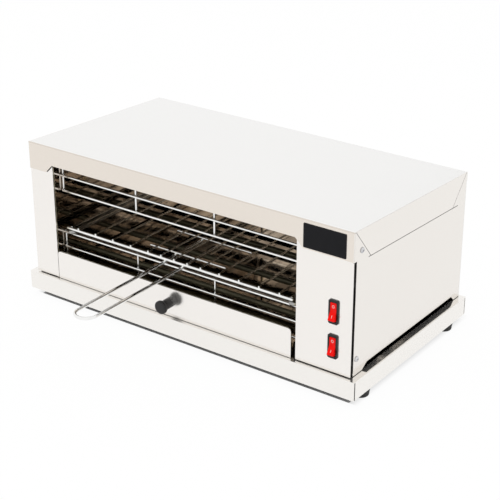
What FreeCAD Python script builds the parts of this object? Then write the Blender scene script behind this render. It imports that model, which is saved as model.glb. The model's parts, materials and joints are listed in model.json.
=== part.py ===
import FreeCAD, Part
import Sketcher
import math
import os

Vector = FreeCAD.Vector
Rotation = FreeCAD.Rotation

# Driving dimensions of the toaster in millimetres. X runs across it, -Y is its front, Z is up.
DRIVING = [
    ("body_width", 500, "across the side panels"),
    ("body_depth", 268, "header face to rear"),
    ("body_height", 187, "base ledge to the front edge of the top"),
    ("top_fall", 13, "drop of the top over the body depth"),
    ("panel_gauge", 1.0, "sheet of the body panels"),
    ("base_gauge", 1.2, "sheet of the base pan"),
    ("skirt_height", 25, "height of the base pan"),
    ("foot_height", 10, "rubber below the base pan"),
    ("foot_radius", 12, "top of a foot"),
    ("foot_inset_side", 12, "foot centre from the skirt"),
    ("foot_inset_end", 35, "foot centre from the front or rear skirt"),
    ("ledge_side", 8.5, "ledge beside the body"),
    ("ledge_front", 4.5, "ledge in front of the body"),
    ("ledge_rear", 2.5, "ledge behind the body"),
    ("header_height", 37, "header at its ends"),
    ("header_notch", 11, "header cut back over the opening"),
    ("post_width", 39, "left front post"),
    ("console_width", 78, "right control panel"),
    ("flap_depth", 39, "side flap of the top cover"),
    ("vent_rise", 7.5, "cut-out under a side panel"),
    ("chamber_gap", 6, "right polished wall to the control panel"),
    ("rear_space", 28, "inner back to the rear of the body"),
    ("wall_drop", 19, "top of the polished walls below the front edge of the top"),
    ("tray_front_height", 39.6, "front plate of the crumb tray"),
    ("tray_wall", 15, "side walls of the crumb tray"),
    ("guard_depth", 17, "guards behind the header face"),
    ("guard_wire", 3, "guard wire diameter"),
    ("cross_wire", 2.5, "rack cross wire and tie diameter"),
    ("rail_wire", 5, "rack support wire diameter"),
    ("upper_guard_drop", 44.2, "top wire of the upper guard below the front edge of the top"),
    ("lower_guard_rise", 62.4, "top wire of the lower guard above the base"),
    ("guard_pitch", 21, "between the upper two wires of a guard"),
    ("guard_foot", 22, "second to third wire of the lower guard"),
    ("bar_diameter", 4, "front and rear bars of the rack"),
    ("rack_clearance", 0.3, "rack above its support wires"),
    ("rack_width", 363, "across the rack"),
    ("rack_centre", -21.5, "middle of the rack and of the tray knob"),
    ("rack_front", 14, "front bar behind the header face"),
    ("rack_rear_gap", 8, "rear bar to the inner back"),
    ("handle_wire", 4, "handle wire diameter"),
    ("handle_width", 28.5, "between the handle wires"),
    ("handle_reach", 165, "handle in front of the header"),
    ("knob_rise", 18.5, "tray knob above the base"),
    ("knob_length", 17.8, "tray knob in front of its plate"),
    ("element_radius", 4, "heating rod"),
    ("lower_element_rise", 33, "lower heating rods above the base"),
    ("upper_element_drop", 31, "upper heating rods below the front edge of the top"),
    ("element_front", 45, "front rod behind the header face"),
    ("element_rear", 55, "rear rod to the inner back"),
    ("switch_height", 31, "switch bezel"),
    ("switch_width", 13.5, "switch bezel"),
    ("switch_pitch", 45.1, "between the switch centres"),
    ("switch_from_base", 35.8, "lower switch centre above the base"),
    ("switch_from_side", 25.1, "switches from the right side of the body"),
    ("rocker_tilt", 15, "degrees each way from the middle"),
    ("plate_width", 58, "blank plate on the header"),
    ("plate_height", 30.5, "blank plate on the header"),
    ("gland_out", 12, "cable gland behind the body"),
]

doc = FreeCAD.newDocument("toaster")
sheet = doc.addObject("Spreadsheet::Sheet", "sizes")
for row, (alias, amount, note) in enumerate(DRIVING, start=1):
    sheet.set("A%d" % row, alias)
    sheet.set("B%d" % row, str(amount))
    sheet.setAlias("B%d" % row, alias)
    sheet.set("C%d" % row, note)
doc.recompute()


class Size:
    """A length that carries its number and the sheet formula behind it."""

    def __init__(self, number, formula):
        self.number = float(number)
        self.formula = formula

    @staticmethod
    def of(item):
        return item if isinstance(item, Size) else Size(item, "(%s)" % repr(float(item)))

    def combined(self, other, sign, number):
        return Size(number, "(%s %s %s)" % (self.formula, sign, Size.of(other).formula))

    def __add__(self, other):
        return self.combined(other, "+", self.number + Size.of(other).number)

    def __sub__(self, other):
        return self.combined(other, "-", self.number - Size.of(other).number)

    def __mul__(self, other):
        return self.combined(other, "*", self.number * Size.of(other).number)

    def __truediv__(self, other):
        return self.combined(other, "/", self.number / Size.of(other).number)

    def __radd__(self, other):
        return Size.of(other) + self

    def __rsub__(self, other):
        return Size.of(other) - self

    def __rmul__(self, other):
        return Size.of(other) * self

    def __neg__(self):
        return Size(-self.number, "(0 - %s)" % self.formula)


size = {alias: Size(amount, "sizes." + alias) for alias, amount, note in DRIVING}


# Helpers that make bound primitives, profiles and booleans.
def bind(item, prop, amount):
    amount = Size.of(amount)
    item.setExpression(prop, amount.formula)


def place(item, x, y, z, rotation=None):
    item.Placement = FreeCAD.Placement(Vector(0, 0, 0), rotation or Rotation())
    bind(item, ".Placement.Base.x", x)
    bind(item, ".Placement.Base.y", y)
    bind(item, ".Placement.Base.z", z)


def box(x0, x1, y0, y1, z0, z1):
    item = doc.addObject("Part::Box", "box")
    x0, y0, z0 = Size.of(x0), Size.of(y0), Size.of(z0)
    bind(item, "Length", Size.of(x1) - x0)
    bind(item, "Width", Size.of(y1) - y0)
    bind(item, "Height", Size.of(z1) - z0)
    place(item, x0, y0, z0)
    return item


def sideBox(side, x0, x1, y0, y1, z0, z1):
    """A box on the right for side 1, or its mirror image on the left for side -1."""
    if side > 0:
        return box(x0, x1, y0, y1, z0, z1)
    return box(-Size.of(x1), -Size.of(x0), y0, y1, z0, z1)


TURN = {
    "x": Rotation(Vector(0, 1, 0), 90),
    "y": Rotation(Vector(1, 0, 0), -90),
    "z": Rotation(),
}


def rod(axis, radius, length, x, y, z):
    """A cylinder that starts at x, y, z and runs along the positive axis."""
    item = doc.addObject("Part::Cylinder", "rod")
    bind(item, "Radius", radius)
    bind(item, "Height", length)
    place(item, x, y, z, TURN[axis])
    return item


def cone(axis, radius0, radius1, length, x, y, z):
    item = doc.addObject("Part::Cone", "cone")
    bind(item, "Radius1", radius0)
    bind(item, "Radius2", radius1)
    bind(item, "Height", length)
    place(item, x, y, z, TURN[axis])
    return item


# Sketch planes: "yz" looks along +X (local x is Y), "xz" looks along -Y (local x is X).
PLANES = {
    "yz": Rotation(Vector(1, 1, 1), 120),
    "xz": Rotation(Vector(1, 0, 0), 90),
    "xy": Rotation(),
}


def outline(plane, points, x=0, y=0, z=0):
    """A closed polygon sketch whose corners are bound to the sheet."""
    sketch = doc.addObject("Sketcher::SketchObject", "outline")
    count = len(points)
    corners = [(Size.of(u), Size.of(v)) for u, v in points]
    for index in range(count):
        u0, v0 = corners[index]
        u1, v1 = corners[(index + 1) % count]
        start = Vector(u0.number, v0.number, 0)
        end = Vector(u1.number, v1.number, 0)
        sketch.addGeometry(Part.LineSegment(start, end), False)
    for index in range(count):
        sketch.addConstraint(Sketcher.Constraint("Coincident", index, 2, (index + 1) % count, 1))
    for index, (u, v) in enumerate(corners):
        across = sketch.addConstraint(Sketcher.Constraint("DistanceX", index, 1, u.number))
        upward = sketch.addConstraint(Sketcher.Constraint("DistanceY", index, 1, v.number))
        sketch.setExpression("Constraints[%d]" % across, u.formula)
        sketch.setExpression("Constraints[%d]" % upward, v.formula)
    place(sketch, x, y, z, PLANES[plane])
    return sketch


def prism(plane, points, start, depth):
    """The outline pushed out by depth: from start towards +X, +Y or +Z."""
    start = Size.of(start)
    spot = {"yz": (start, 0, 0), "xz": (0, start + depth, 0), "xy": (0, 0, start)}[plane]
    item = doc.addObject("Part::Extrusion", "prism")
    item.Base = outline(plane, points, *spot)
    item.DirMode = "Normal"
    bind(item, "LengthFwd", depth)
    item.Solid = True
    return item


def turned(plane, points, x, y, z, axis):
    """The outline turned once round the line through x, y, z along the axis."""
    item = doc.addObject("Part::Revolution", "turned")
    item.Source = outline(plane, points, x, y, z)
    item.Axis = axis
    bind(item, "Base.x", x)
    bind(item, "Base.y", y)
    bind(item, "Base.z", z)
    item.Angle = 360
    item.Solid = True
    return item


def fuse(pieces):
    item = doc.addObject("Part::MultiFuse", "joined")
    item.Shapes = pieces
    item.Refine = True
    return item


def cut(base, tools):
    item = doc.addObject("Part::Cut", "trimmed")
    item.Base = base
    item.Tool = tools[0] if len(tools) == 1 else fuse(tools)
    item.Refine = True
    return item


def group(pieces):
    item = doc.addObject("Part::Compound", "group")
    item.Links = pieces
    return item


def bentPath(points, radius):
    """A wire through the points with each inner corner rounded."""
    edges = []
    last = points[0]
    for index in range(1, len(points) - 1):
        corner = points[index]
        inward = (points[index - 1] - corner).normalize()
        outward = (points[index + 1] - corner).normalize()
        half = math.acos(max(-1.0, min(1.0, inward.dot(outward)))) / 2
        reach = radius / math.tan(half)
        begin = corner + inward * reach
        finish = corner + outward * reach
        bisector = (inward + outward).normalize()
        centre = corner + bisector * (radius / math.sin(half))
        middle = centre - bisector * radius
        edges.append(Part.LineSegment(last, begin).toShape())
        edges.append(Part.Arc(begin, middle, finish).toShape())
        last = finish
    edges.append(Part.LineSegment(last, points[-1]).toShape())
    return Part.Wire(edges)


def bentRod(path, radius):
    """Round wire swept along a path."""
    start = path.Edges[0]
    heading = start.tangentAt(start.FirstParameter)
    ring = Part.Wire([Part.makeCircle(radius, start.Vertexes[0].Point, heading)])
    item = doc.addObject("Part::Feature", "bent")
    item.Shape = path.makePipeShell([ring], True, True)
    return item


nodes = {}


def node(name, item):
    item.Label = name
    nodes[name] = item
    return item


# Levels and lines that several pieces share.
gauge = size["panel_gauge"]
thick = size["base_gauge"]
baseTop = size["foot_height"] + size["skirt_height"]
halfBody = size["body_width"] / 2
frontTop = baseTop + size["body_height"]
rearReach = size["body_depth"] + size["gland_out"]
frontY = (size["handle_reach"] - rearReach) / 2


def at(depth):
    """Y of a point that lies this far behind the header face."""
    return frontY + depth


def topAt(depth):
    """Height of the outer face of the sloping top at a depth."""
    return frontTop - size["top_fall"] * Size.of(depth) / size["body_depth"]


rearFace = size["body_depth"]
panelEnd = rearFace - 2 * gauge
headerBottom = frontTop - size["header_height"]
openingTop = headerBottom + size["header_notch"]
openingLeft = -halfBody + size["post_width"]
openingRight = halfBody - size["console_width"]
wallLeft = openingLeft - 2.3
wallRight = openingRight - size["chamber_gap"]
chamberWidth = wallRight - wallLeft
wallTop = frontTop - size["wall_drop"]
backFace = rearFace - size["rear_space"]

# Base pan: plate, skirts on four sides and a bottom flange on the left and right for the feet.
baseHalf = halfBody + size["ledge_side"]
baseFront = at(-size["ledge_front"])
baseRear = at(rearFace + size["ledge_rear"])
skirtLow = size["foot_height"]
panPlateLow = baseTop - thick
seam = 1.2
panPieces = [
    box(-baseHalf, baseHalf, baseFront, baseRear, panPlateLow, baseTop),
    box(-baseHalf, baseHalf, baseFront, baseFront + thick, skirtLow, panPlateLow),
    box(-baseHalf, baseHalf, baseRear - thick, baseRear, skirtLow, panPlateLow),
]
flangeIn = size["foot_inset_side"] + size["foot_radius"] + 4
for side in (-1, 1):
    sideFront = baseFront + thick + seam
    sideRear = baseRear - thick - seam
    panPieces.append(sideBox(side, baseHalf - thick, baseHalf, sideFront, sideRear, skirtLow, panPlateLow))
    flangeEdge = baseHalf - flangeIn
    panPieces.append(sideBox(side, flangeEdge, baseHalf - thick, sideFront, sideRear,
                             skirtLow, skirtLow + thick))

# Vent slots in the plate, just inside the raised edge of each side panel.
ventFront = 25
ventRear = rearFace - 15
panCuts = []
for side in (-1, 1):
    panCuts.append(sideBox(side, halfBody - 14, halfBody - 2, at(ventFront + 2), at(ventRear - 8),
                           panPlateLow - 1, baseTop + 1))
# Cooling slots under the switch side.
for index in range(5):
    slotX = openingRight + 16 + index * 8
    panCuts.append(box(slotX, slotX + 3, at(70), at(rearFace - 68), panPlateLow - 1, baseTop + 1))

# Feet with their screws and nuts through the bottom flange.
footX = baseHalf - size["foot_inset_side"]
footFront = baseFront + size["foot_inset_end"]
footRear = baseRear - size["foot_inset_end"]
screwRadius = 2
footScrews = []
footNuts = []
for spot, side, footY in (("front_left", -1, footFront), ("front_right", 1, footFront),
                          ("rear_left", -1, footRear), ("rear_right", 1, footRear)):
    centreX = footX * side
    body = cone("z", size["foot_radius"] - 1.5, size["foot_radius"], size["foot_height"], centreX, footY, 0)
    recess = rod("z", 5, 5, centreX, footY, -0.01)
    bore = rod("z", screwRadius, size["foot_height"], centreX, footY, 0)
    node("foot_" + spot, cut(body, [recess, bore]))
    panCuts.append(rod("z", screwRadius, 4, centreX, footY, skirtLow - 1))
    head = cone("z", 3, 3.8, 2.4, centreX, footY, 5 - 2.41)
    shank = rod("z", screwRadius, size["foot_height"] + thick - 5 + 5, centreX, footY, 4.99)
    footScrews.append(fuse([head, shank]))
    nutOuter = rod("z", 4, 3.2, centreX, footY, skirtLow + thick)
    footNuts.append(cut(nutOuter, [rod("z", screwRadius, 3.2, centreX, footY, skirtLow + thick)]))
node("foot_screws", group(footScrews))
node("foot_nuts", group(footNuts))

# Top cover: one folded sheet with the header in front, a flap on each side and a rear flange.
rearFlange = 12
coverPoints = [
    (at(0), headerBottom),
    (at(0), frontTop),
    (at(rearFace), topAt(rearFace)),
    (at(rearFace), topAt(rearFace) - rearFlange),
    (at(rearFace - gauge), topAt(rearFace) - rearFlange),
    (at(rearFace - gauge), topAt(rearFace) - gauge),
    (at(gauge), frontTop - gauge),
    (at(gauge), headerBottom),
]
cover = prism("yz", coverPoints, -halfBody, size["body_width"])
notch = size["header_notch"]
notchPoints = [
    (openingLeft - notch - 1, headerBottom - 1),
    (openingLeft, openingTop),
    (openingRight - 2, openingTop),
    (openingRight - 2 + notch + 1, headerBottom - 1),
]
notchCut = prism("xz", notchPoints, at(-1), gauge + 2)

flapFront = 37
flapRear = rearFace - 35
flapTopFront = 3
flapTopRear = rearFace - 3
flapLow = size["flap_depth"]


def trapezoid(grow, upward, low):
    """Side flap outline, grown at its slanted ends, with its top and bottom edge levels."""
    corners = []
    for start, end, level, outward in (
            (flapTopFront, flapFront, -upward, -grow),
            (flapTopFront, flapFront, low, -grow),
            (flapTopRear, flapRear, low, grow),
            (flapTopRear, flapRear, -upward, grow)):
        depth = start + (Size.of(end) - start) * level / flapLow + outward
        corners.append((at(depth), topAt(depth) - level))
    return corners


coverPieces = [cut(cover, [notchCut])]
coverCuts = []
for side in (-1, 1):
    inner = halfBody - gauge if side > 0 else -halfBody
    coverPieces.append(prism("yz", trapezoid(0, -gauge / 2, flapLow), inner, gauge))
    coverCuts.append(rod("x", 1.6, 3 * gauge, inner - gauge, at(flapTopFront + 1), topAt(4) - 3.5))
coverBody = cut(fuse(coverPieces), coverCuts)

# Side panels: a trapezoid window under the flap, a relief slit along it and a joggled tab behind it.
slitFront = 32
slitRear = rearFace - 21
gap = 0.8
edgeFront = 6.5
for side, name in ((-1, "side_panel_left"), (1, "side_panel_right")):
    inner = halfBody - gauge if side > 0 else -halfBody
    panelTop = -gauge - 0.2
    panelPoints = [
        (at(edgeFront), baseTop),
        (at(edgeFront), headerBottom - 0.5),
        (at(gauge + 0.2), headerBottom - 0.5),
        (at(gauge + 0.2), topAt(gauge) + panelTop),
        (at(panelEnd), topAt(panelEnd) + panelTop),
        (at(panelEnd), baseTop),
        (at(ventRear), baseTop),
        (at(ventRear - 8), baseTop + size["vent_rise"]),
        (at(ventFront + 12), baseTop + size["vent_rise"]),
        (at(ventFront), baseTop),
    ]
    sheetBody = prism("yz", panelPoints, inner, gauge)
    window = prism("yz", trapezoid(gap, 1, flapLow + gap), inner - 1, gauge + 2)
    slitPoints = [
        (at(slitFront), topAt(slitFront) - flapLow - gap),
        (at(slitRear), topAt(slitRear) - flapLow - gap),
        (at(slitRear), topAt(slitRear) - flapLow),
        (at(slitFront), topAt(slitFront) - flapLow),
    ]
    slit = prism("yz", slitPoints, inner - 1, gauge + 2)
    tabPoints = [
        (at(flapTopFront + 4), topAt(flapTopFront) - gauge - 1),
        (at(flapFront + 4), topAt(flapFront) - flapLow),
        (at(flapFront + 4), topAt(flapFront) - flapLow - 6),
        (at(flapRear - 4), topAt(flapRear) - flapLow - 6),
        (at(flapRear - 4), topAt(flapRear) - flapLow),
        (at(flapTopRear - 4), topAt(flapTopRear) - gauge - 1),
    ]
    tabInner = inner - gauge if side > 0 else inner + gauge
    tab = prism("yz", tabPoints, tabInner, gauge)
    feet = []
    for footStart, footEnd in ((edgeFront, ventFront - 1), (ventRear + 1, panelEnd)):
        feet.append(sideBox(side, halfBody - 12, halfBody - gauge, at(footStart), at(footEnd),
                            baseTop, baseTop + gauge))
    panelBody = fuse([cut(sheetBody, [window, slit]), tab] + feet)
    screwHoles = []
    for depth, height in ((17, headerBottom + 10), (13, baseTop + 21.5)):
        holeX = halfBody - 3 if side > 0 else -halfBody - 3
        screwHoles.append(rod("x", screwRadius, 6, holeX, at(depth), height))
    node(name, cut(panelBody, screwHoles))

# Corner brackets behind the front corners: the side screws and the studs of the front plates hold them.
bracketFront = 9
bracketRear = 23
studHeights = (frontTop - 72, baseTop + 12)
studIn = 7
sideScrews = []
for side, name in ((-1, "corner_bracket_left"), (1, "corner_bracket_right")):
    legTop = headerBottom + 14
    leg = sideBox(side, halfBody - 2 * gauge, halfBody - gauge, at(bracketFront), at(bracketRear),
                  baseTop + gauge, legTop)
    web = sideBox(side, halfBody - 16, halfBody - 2 * gauge, at(bracketFront), at(bracketFront + gauge),
                  baseTop + gauge, legTop)
    holes = [rod("y", 1.5, 4, (halfBody - studIn) * side, at(bracketFront - 1), height)
             for height in studHeights]
    for depth, height in ((17, headerBottom + 10), (13, baseTop + 21.5)):
        holeX = halfBody - 5 if side > 0 else -halfBody - 1
        holes.append(rod("x", screwRadius, 6, holeX, at(depth), height))
        outer = halfBody * side
        reach = 6 + gauge
        shankX = halfBody - reach if side > 0 else -halfBody
        shank = rod("x", screwRadius, reach, shankX, at(depth), height)
        if side > 0:
            head = cone("x", 3.6, 2.4, 2.2, outer, at(depth), height)
        else:
            head = cone("x", 2.4, 3.6, 2.2, outer - 2.2, at(depth), height)
        sideScrews.append(fuse([shank, head]))
    node(name, cut(fuse([leg, web]), holes))
node("side_screws", group(sideScrews))

# Front post and control panel, tucked behind the header, with a jamb turned back at the opening.
faceFront = gauge
faceRear = 2 * gauge
plateTop = frontTop - 7
plateLow = baseTop + 1.3
leftJamb = 2
rightJamb = 13
shoulder = headerBottom - 1
plateOuter = halfBody - 0.5
tuckOuter = halfBody - gauge - 0.4


def frontPlateBody(side, inner):
    """Front plate that narrows behind the header, with its jamb at the opening."""
    jamb = inner - gauge if side < 0 else inner
    jambEnd = faceRear + (leftJamb if side < 0 else rightJamb)
    plate = prism("xz", [
        (inner, plateLow), (plateOuter * side, plateLow), (plateOuter * side, shoulder),
        (tuckOuter * side, shoulder), (tuckOuter * side, plateTop), (inner, plateTop),
    ], at(faceFront), gauge)
    return fuse([plate, box(jamb, jamb + gauge, at(faceRear), at(jambEnd), plateLow, plateTop)])


node("front_post", frontPlateBody(-1, openingLeft))
panelBody = frontPlateBody(1, openingRight)
switchHeights = {
    "upper": baseTop + size["switch_from_base"] + size["switch_pitch"],
    "lower": baseTop + size["switch_from_base"],
}
switchX = halfBody - size["switch_from_side"]
bodyHalfWide = size["switch_width"] / 2 - 1.2
bodyHalfTall = size["switch_height"] / 2 - 1.6
panelCuts = []
for spot, height in switchHeights.items():
    panelCuts.append(box(switchX - bodyHalfWide, switchX + bodyHalfWide, at(0), at(faceRear + 1),
                         height - bodyHalfTall, height + bodyHalfTall))
node("control_panel", cut(panelBody, panelCuts))

# Weld studs on the back of both, with a collar that keeps them off the corner brackets.
studs = []
studNuts = []
for side in (-1, 1):
    for height in studHeights:
        studX = (halfBody - studIn) * side
        collar = rod("y", 3, bracketFront - faceRear, studX, at(faceRear), height)
        pin = rod("y", 1.5, bracketFront - faceRear + gauge + 3, studX, at(faceRear), height)
        studs.append(fuse([collar, pin]))
        nut = rod("y", 2.9, 2.4, studX, at(bracketFront + gauge), height)
        studNuts.append(cut(nut, [rod("y", 1.5, 2.4, studX, at(bracketFront + gauge), height)]))
node("panel_studs", group(studs))
node("stud_nuts", group(studNuts))

# Polished chamber: two walls with a foot flange, the inner back and the upper reflector.
elementSpots = []
elementPitch = (backFace - size["element_rear"] - size["element_front"]) / 2
for level in (baseTop + size["lower_element_rise"], frontTop - size["upper_element_drop"]):
    for index in range(3):
        elementSpots.append((size["element_front"] + elementPitch * index, level))
guardWire = size["guard_wire"] / 2
upperTop = frontTop - size["upper_guard_drop"]
lowerTop = baseTop + size["lower_guard_rise"]
guardSpots = [(size["guard_depth"], upperTop), (size["guard_depth"], lowerTop)]
wallCutsLeft = []
wallCutsRight = []
for depth, height in elementSpots:
    wallCutsLeft.append(rod("x", size["element_radius"], 4, wallLeft - 2, at(depth), height))
    wallCutsRight.append(rod("x", size["element_radius"], 4, wallRight - 1, at(depth), height))
for depth, height in guardSpots:
    wallCutsLeft.append(rod("x", guardWire, 4, wallLeft - 2, at(depth), height))
    wallCutsRight.append(rod("x", guardWire, 4, wallRight - 1, at(depth), height))
leftWall = fuse([
    box(wallLeft - gauge, wallLeft, at(faceRear), at(backFace), baseTop, wallTop),
    box(wallLeft - gauge - 10, wallLeft - gauge, at(faceRear + 4), at(backFace), baseTop, baseTop + gauge),
])
node("inner_wall_left", cut(leftWall, wallCutsLeft))
rightFront = faceRear + rightJamb
rightOuter = wallRight + gauge
rightWall = fuse([
    box(wallRight, rightOuter, at(rightFront), at(backFace), baseTop, wallTop),
    box(rightOuter, rightOuter + 10, at(rightFront + 4), at(backFace), baseTop, baseTop + gauge),
    box(rightOuter, openingRight + gauge, at(rightFront), at(rightFront + gauge), baseTop, wallTop),
])
node("inner_wall_right", cut(rightWall, wallCutsRight))

railRadius = size["rail_wire"] / 2
railZ = lowerTop + guardWire + railRadius
railX = {
    "left": [wallLeft + 13.5, wallLeft + 21.5],
    "right": [wallRight - 11.5, wallRight - 3.5],
}
backPlate = box(wallLeft, wallRight, at(backFace - gauge), at(backFace), baseTop, wallTop)
backCuts = []
for name in railX:
    for spot in railX[name]:
        backCuts.append(rod("y", railRadius, 4, spot, at(backFace - 3), railZ))
node("inner_back", cut(backPlate, backCuts))

lipDepth = 5
reflector = fuse([
    box(wallLeft - gauge, wallRight + gauge, at(rightFront + 1), at(backFace), wallTop, wallTop + gauge),
    box(wallLeft, wallRight - 1, at(lipDepth), at(rightFront + 1), wallTop, wallTop + gauge),
    box(wallLeft, wallRight - 1, at(lipDepth), at(lipDepth + gauge), openingTop + 2, wallTop),
])

# Heating rods with an insulator and a terminal pin at each end.
rodOut = 10
insulators = []
terminals = []
rowNames = [
    "element_lower_front", "element_lower_middle", "element_lower_rear",
    "element_upper_front", "element_upper_middle", "element_upper_rear",
]
for name, (depth, height) in zip(rowNames, elementSpots):
    startX = wallLeft - gauge - rodOut
    length = chamberWidth + 2 * gauge + 2 * rodOut
    node(name, rod("x", size["element_radius"], length, startX, at(depth), height))
    for insulatorX, pinX in ((startX, startX - 7), (wallRight + gauge, wallRight + gauge + rodOut)):
        sleeve = rod("x", size["element_radius"] + 3, rodOut, insulatorX, at(depth), height)
        bore = rod("x", size["element_radius"], rodOut, insulatorX, at(depth), height)
        insulators.append(cut(sleeve, [bore]))
        terminals.append(rod("x", 1.6, 7, pinX, at(depth), height))
node("element_insulators", group(insulators))
node("element_terminals", group(terminals))

# Wire guards: long wires on four uprights. The top wires end in the walls.
guardLeft = wallLeft + 2.6
guardRight = wallRight - 3
uprightPitch = (guardRight - guardLeft) / 3


def guard(topZ, lowerHeights, uprightLow, uprightHigh):
    depth = size["guard_depth"]
    wires = [rod("x", guardWire, chamberWidth + 2 * gauge, wallLeft - gauge, at(depth), topZ)]
    for height in lowerHeights:
        wires.append(rod("x", guardWire, guardRight - guardLeft, guardLeft, at(depth), height))
    for index in range(4):
        wires.append(rod("z", guardWire, uprightHigh - uprightLow, guardLeft + uprightPitch * index,
                         at(depth + size["guard_wire"]), uprightLow))
    return group(wires)


upperSecond = upperTop - size["guard_pitch"]
lowerSecond = lowerTop - size["guard_pitch"]
lowerThird = lowerSecond - size["guard_foot"]
node("upper_guard", guard(upperTop, [upperSecond], upperSecond - 2, wallTop))
node("lower_guard", guard(lowerTop, [lowerSecond, lowerThird], lowerThird - 2, lowerTop + 1))
node("upper_reflector", reflector)

# Rack supports: a hairpin of wire on each side that lies on the lower guard and hooks into the back.
for name in railX:
    spots = sorted(spot.number for spot in railX[name])
    noseY = at(size["guard_depth"] - 4).number
    tailY = at(backFace).number
    level = railZ.number
    radius = (spots[1] - spots[0]) / 2
    middleX = (spots[0] + spots[1]) / 2
    edges = [
        Part.LineSegment(Vector(spots[0], tailY, level), Vector(spots[0], noseY + radius, level)).toShape(),
        Part.Arc(Vector(spots[0], noseY + radius, level), Vector(middleX, noseY, level),
                 Vector(spots[1], noseY + radius, level)).toShape(),
        Part.LineSegment(Vector(spots[1], noseY + radius, level), Vector(spots[1], tailY, level)).toShape(),
    ]
    node("rack_support_" + name, bentRod(Part.Wire(edges), railRadius.number))

# Sliding rack: two thick bars joined by side bars, cross wires on top and two ties below them.
# The U handle runs under the front bar and rises to the ties.
barRadius = size["bar_diameter"] / 2
barZ = railZ + railRadius + size["rack_clearance"] + barRadius
barFront = size["rack_front"]
barRear = backFace - size["rack_rear_gap"]
rackDepth = barRear - barFront
rackMiddle = size["rack_centre"]
rackHalf = size["rack_width"] / 2
sideBarRadius = 2
frameBars = [
    rod("x", barRadius, size["rack_width"], rackMiddle - rackHalf, at(barFront), barZ),
    rod("x", barRadius, size["rack_width"], rackMiddle - rackHalf, at(barRear), barZ),
]
for side in (-1, 1):
    sideBarX = rackMiddle + side * (rackHalf - 5)
    frameBars.append(rod("y", sideBarRadius, rackDepth - 2 * barRadius, sideBarX, at(barFront + barRadius),
                         barZ))
node("rack_frame", group(frameBars))
crossWire = size["cross_wire"] / 2
crossZ = barZ + barRadius + crossWire
crossOut = 1.5
shares = [0, 0.114, 0.228, 0.385, 0.547, 0.709, 0.872]
crossWires = []
for share in sorted(set(shares + [-share for share in shares])):
    crossWires.append(rod("y", crossWire, rackDepth + 2 * crossOut, rackMiddle + (rackHalf + 3.5) * share,
                          at(barFront - crossOut), crossZ))
node("rack_wires", group(crossWires))
tieZ = crossZ - 2 * crossWire
ties = []
tieDepths = (35.5, 91.2)
for depth in tieDepths:
    ties.append(rod("x", crossWire, 121.5, rackMiddle - 56.5, at(depth), tieZ))
node("rack_ties", group(ties))

handleRadius = size["handle_wire"] / 2
handleInner = (tieZ - crossWire - handleRadius).number
handleOuter = (barZ - barRadius - handleRadius).number
halfHandle = size["handle_width"].number / 2
handleX = rackMiddle.number
tipY = at(-size["handle_reach"]).number + handleRadius.number
bendY = tipY + halfHandle
innerY = at(tieDepths[1] + 7).number
stepY = at(tieDepths[0] - 3).number
stepEndY = at(barFront + 5).number


def handleLeg(side):
    legX = handleX + side * halfHandle
    points = [
        Vector(legX, innerY, handleInner),
        Vector(legX, stepY, handleInner),
        Vector(legX, stepEndY, handleOuter),
        Vector(legX, bendY, handleOuter),
    ]
    return bentPath(points, 5)


leftLeg = handleLeg(-1)
rightLeg = handleLeg(1)
tipArc = Part.Arc(Vector(handleX - halfHandle, bendY, handleOuter), Vector(handleX, tipY, handleOuter),
                  Vector(handleX + halfHandle, bendY, handleOuter)).toShape()
handlePath = Part.Wire(leftLeg.Edges + [tipArc] + list(reversed(rightLeg.Edges)))
node("rack_handle", bentRod(handlePath, handleRadius.number))

# Crumb tray: a pan on two runners behind a front plate with rounded upper corners.
runnerHeight = 15
for name, legX, footX0, footX1 in (
        ("left", wallLeft, wallLeft, wallLeft + 12),
        ("right", wallRight - gauge, wallRight - 12, wallRight)):
    runnerFront = rightFront + 2
    node("tray_runner_" + name, fuse([
        box(footX0, footX1, at(runnerFront), at(backFace - gauge), baseTop, baseTop + gauge),
        box(legX, legX + gauge, at(runnerFront), at(backFace - gauge), baseTop, baseTop + runnerHeight),
    ]))
trayLow = baseTop + gauge + 0.3
trayLeft = wallLeft + 3
trayRight = wallRight - 3
trayRear = backFace - 8
trayTop = trayLow + size["tray_wall"]
trayLip = trayLow + 8
trayPan = fuse([
    box(trayLeft, trayRight, at(faceRear), at(trayRear), trayLow, trayLow + gauge),
    box(trayLeft, trayLeft + gauge, at(faceRear), at(trayRear), trayLow, trayTop),
    box(trayRight - gauge, trayRight, at(faceRear), at(trayRear), trayLow, trayTop),
    box(trayLeft, trayRight, at(faceRear), at(faceRear + gauge), trayLow, trayLip),
    box(trayLeft, trayRight, at(trayRear - gauge), at(trayRear), trayLow, trayTop),
])
node("crumb_tray", trayPan)
plateLeft = openingLeft + 0.8
plateRight = wallRight - 0.5
corner = 4
trayPlateTop = baseTop + size["tray_front_height"]
trayPlateLow = baseTop + 0.6
bend = corner * (1 - math.cos(math.radians(45)))
platePoints = [
    (plateLeft, trayPlateLow),
    (plateRight, trayPlateLow),
    (plateRight, trayPlateTop - corner),
    (plateRight - bend, trayPlateTop - bend),
    (plateRight - corner, trayPlateTop),
    (plateLeft + corner, trayPlateTop),
    (plateLeft + bend, trayPlateTop - bend),
    (plateLeft, trayPlateTop - corner),
]
frontPlate = prism("xz", platePoints, at(faceFront), gauge)
hem = box(plateLeft + corner, plateRight - corner, at(faceRear), at(faceRear + gauge), trayPlateTop - 8,
          trayPlateTop)
knobX = rackMiddle
knobZ = baseTop + size["knob_rise"]
plateHole = rod("y", screwRadius, 4, knobX, at(faceFront - 1), knobZ)
node("tray_front", cut(fuse([frontPlate, hem]), [plateHole]))

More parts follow.
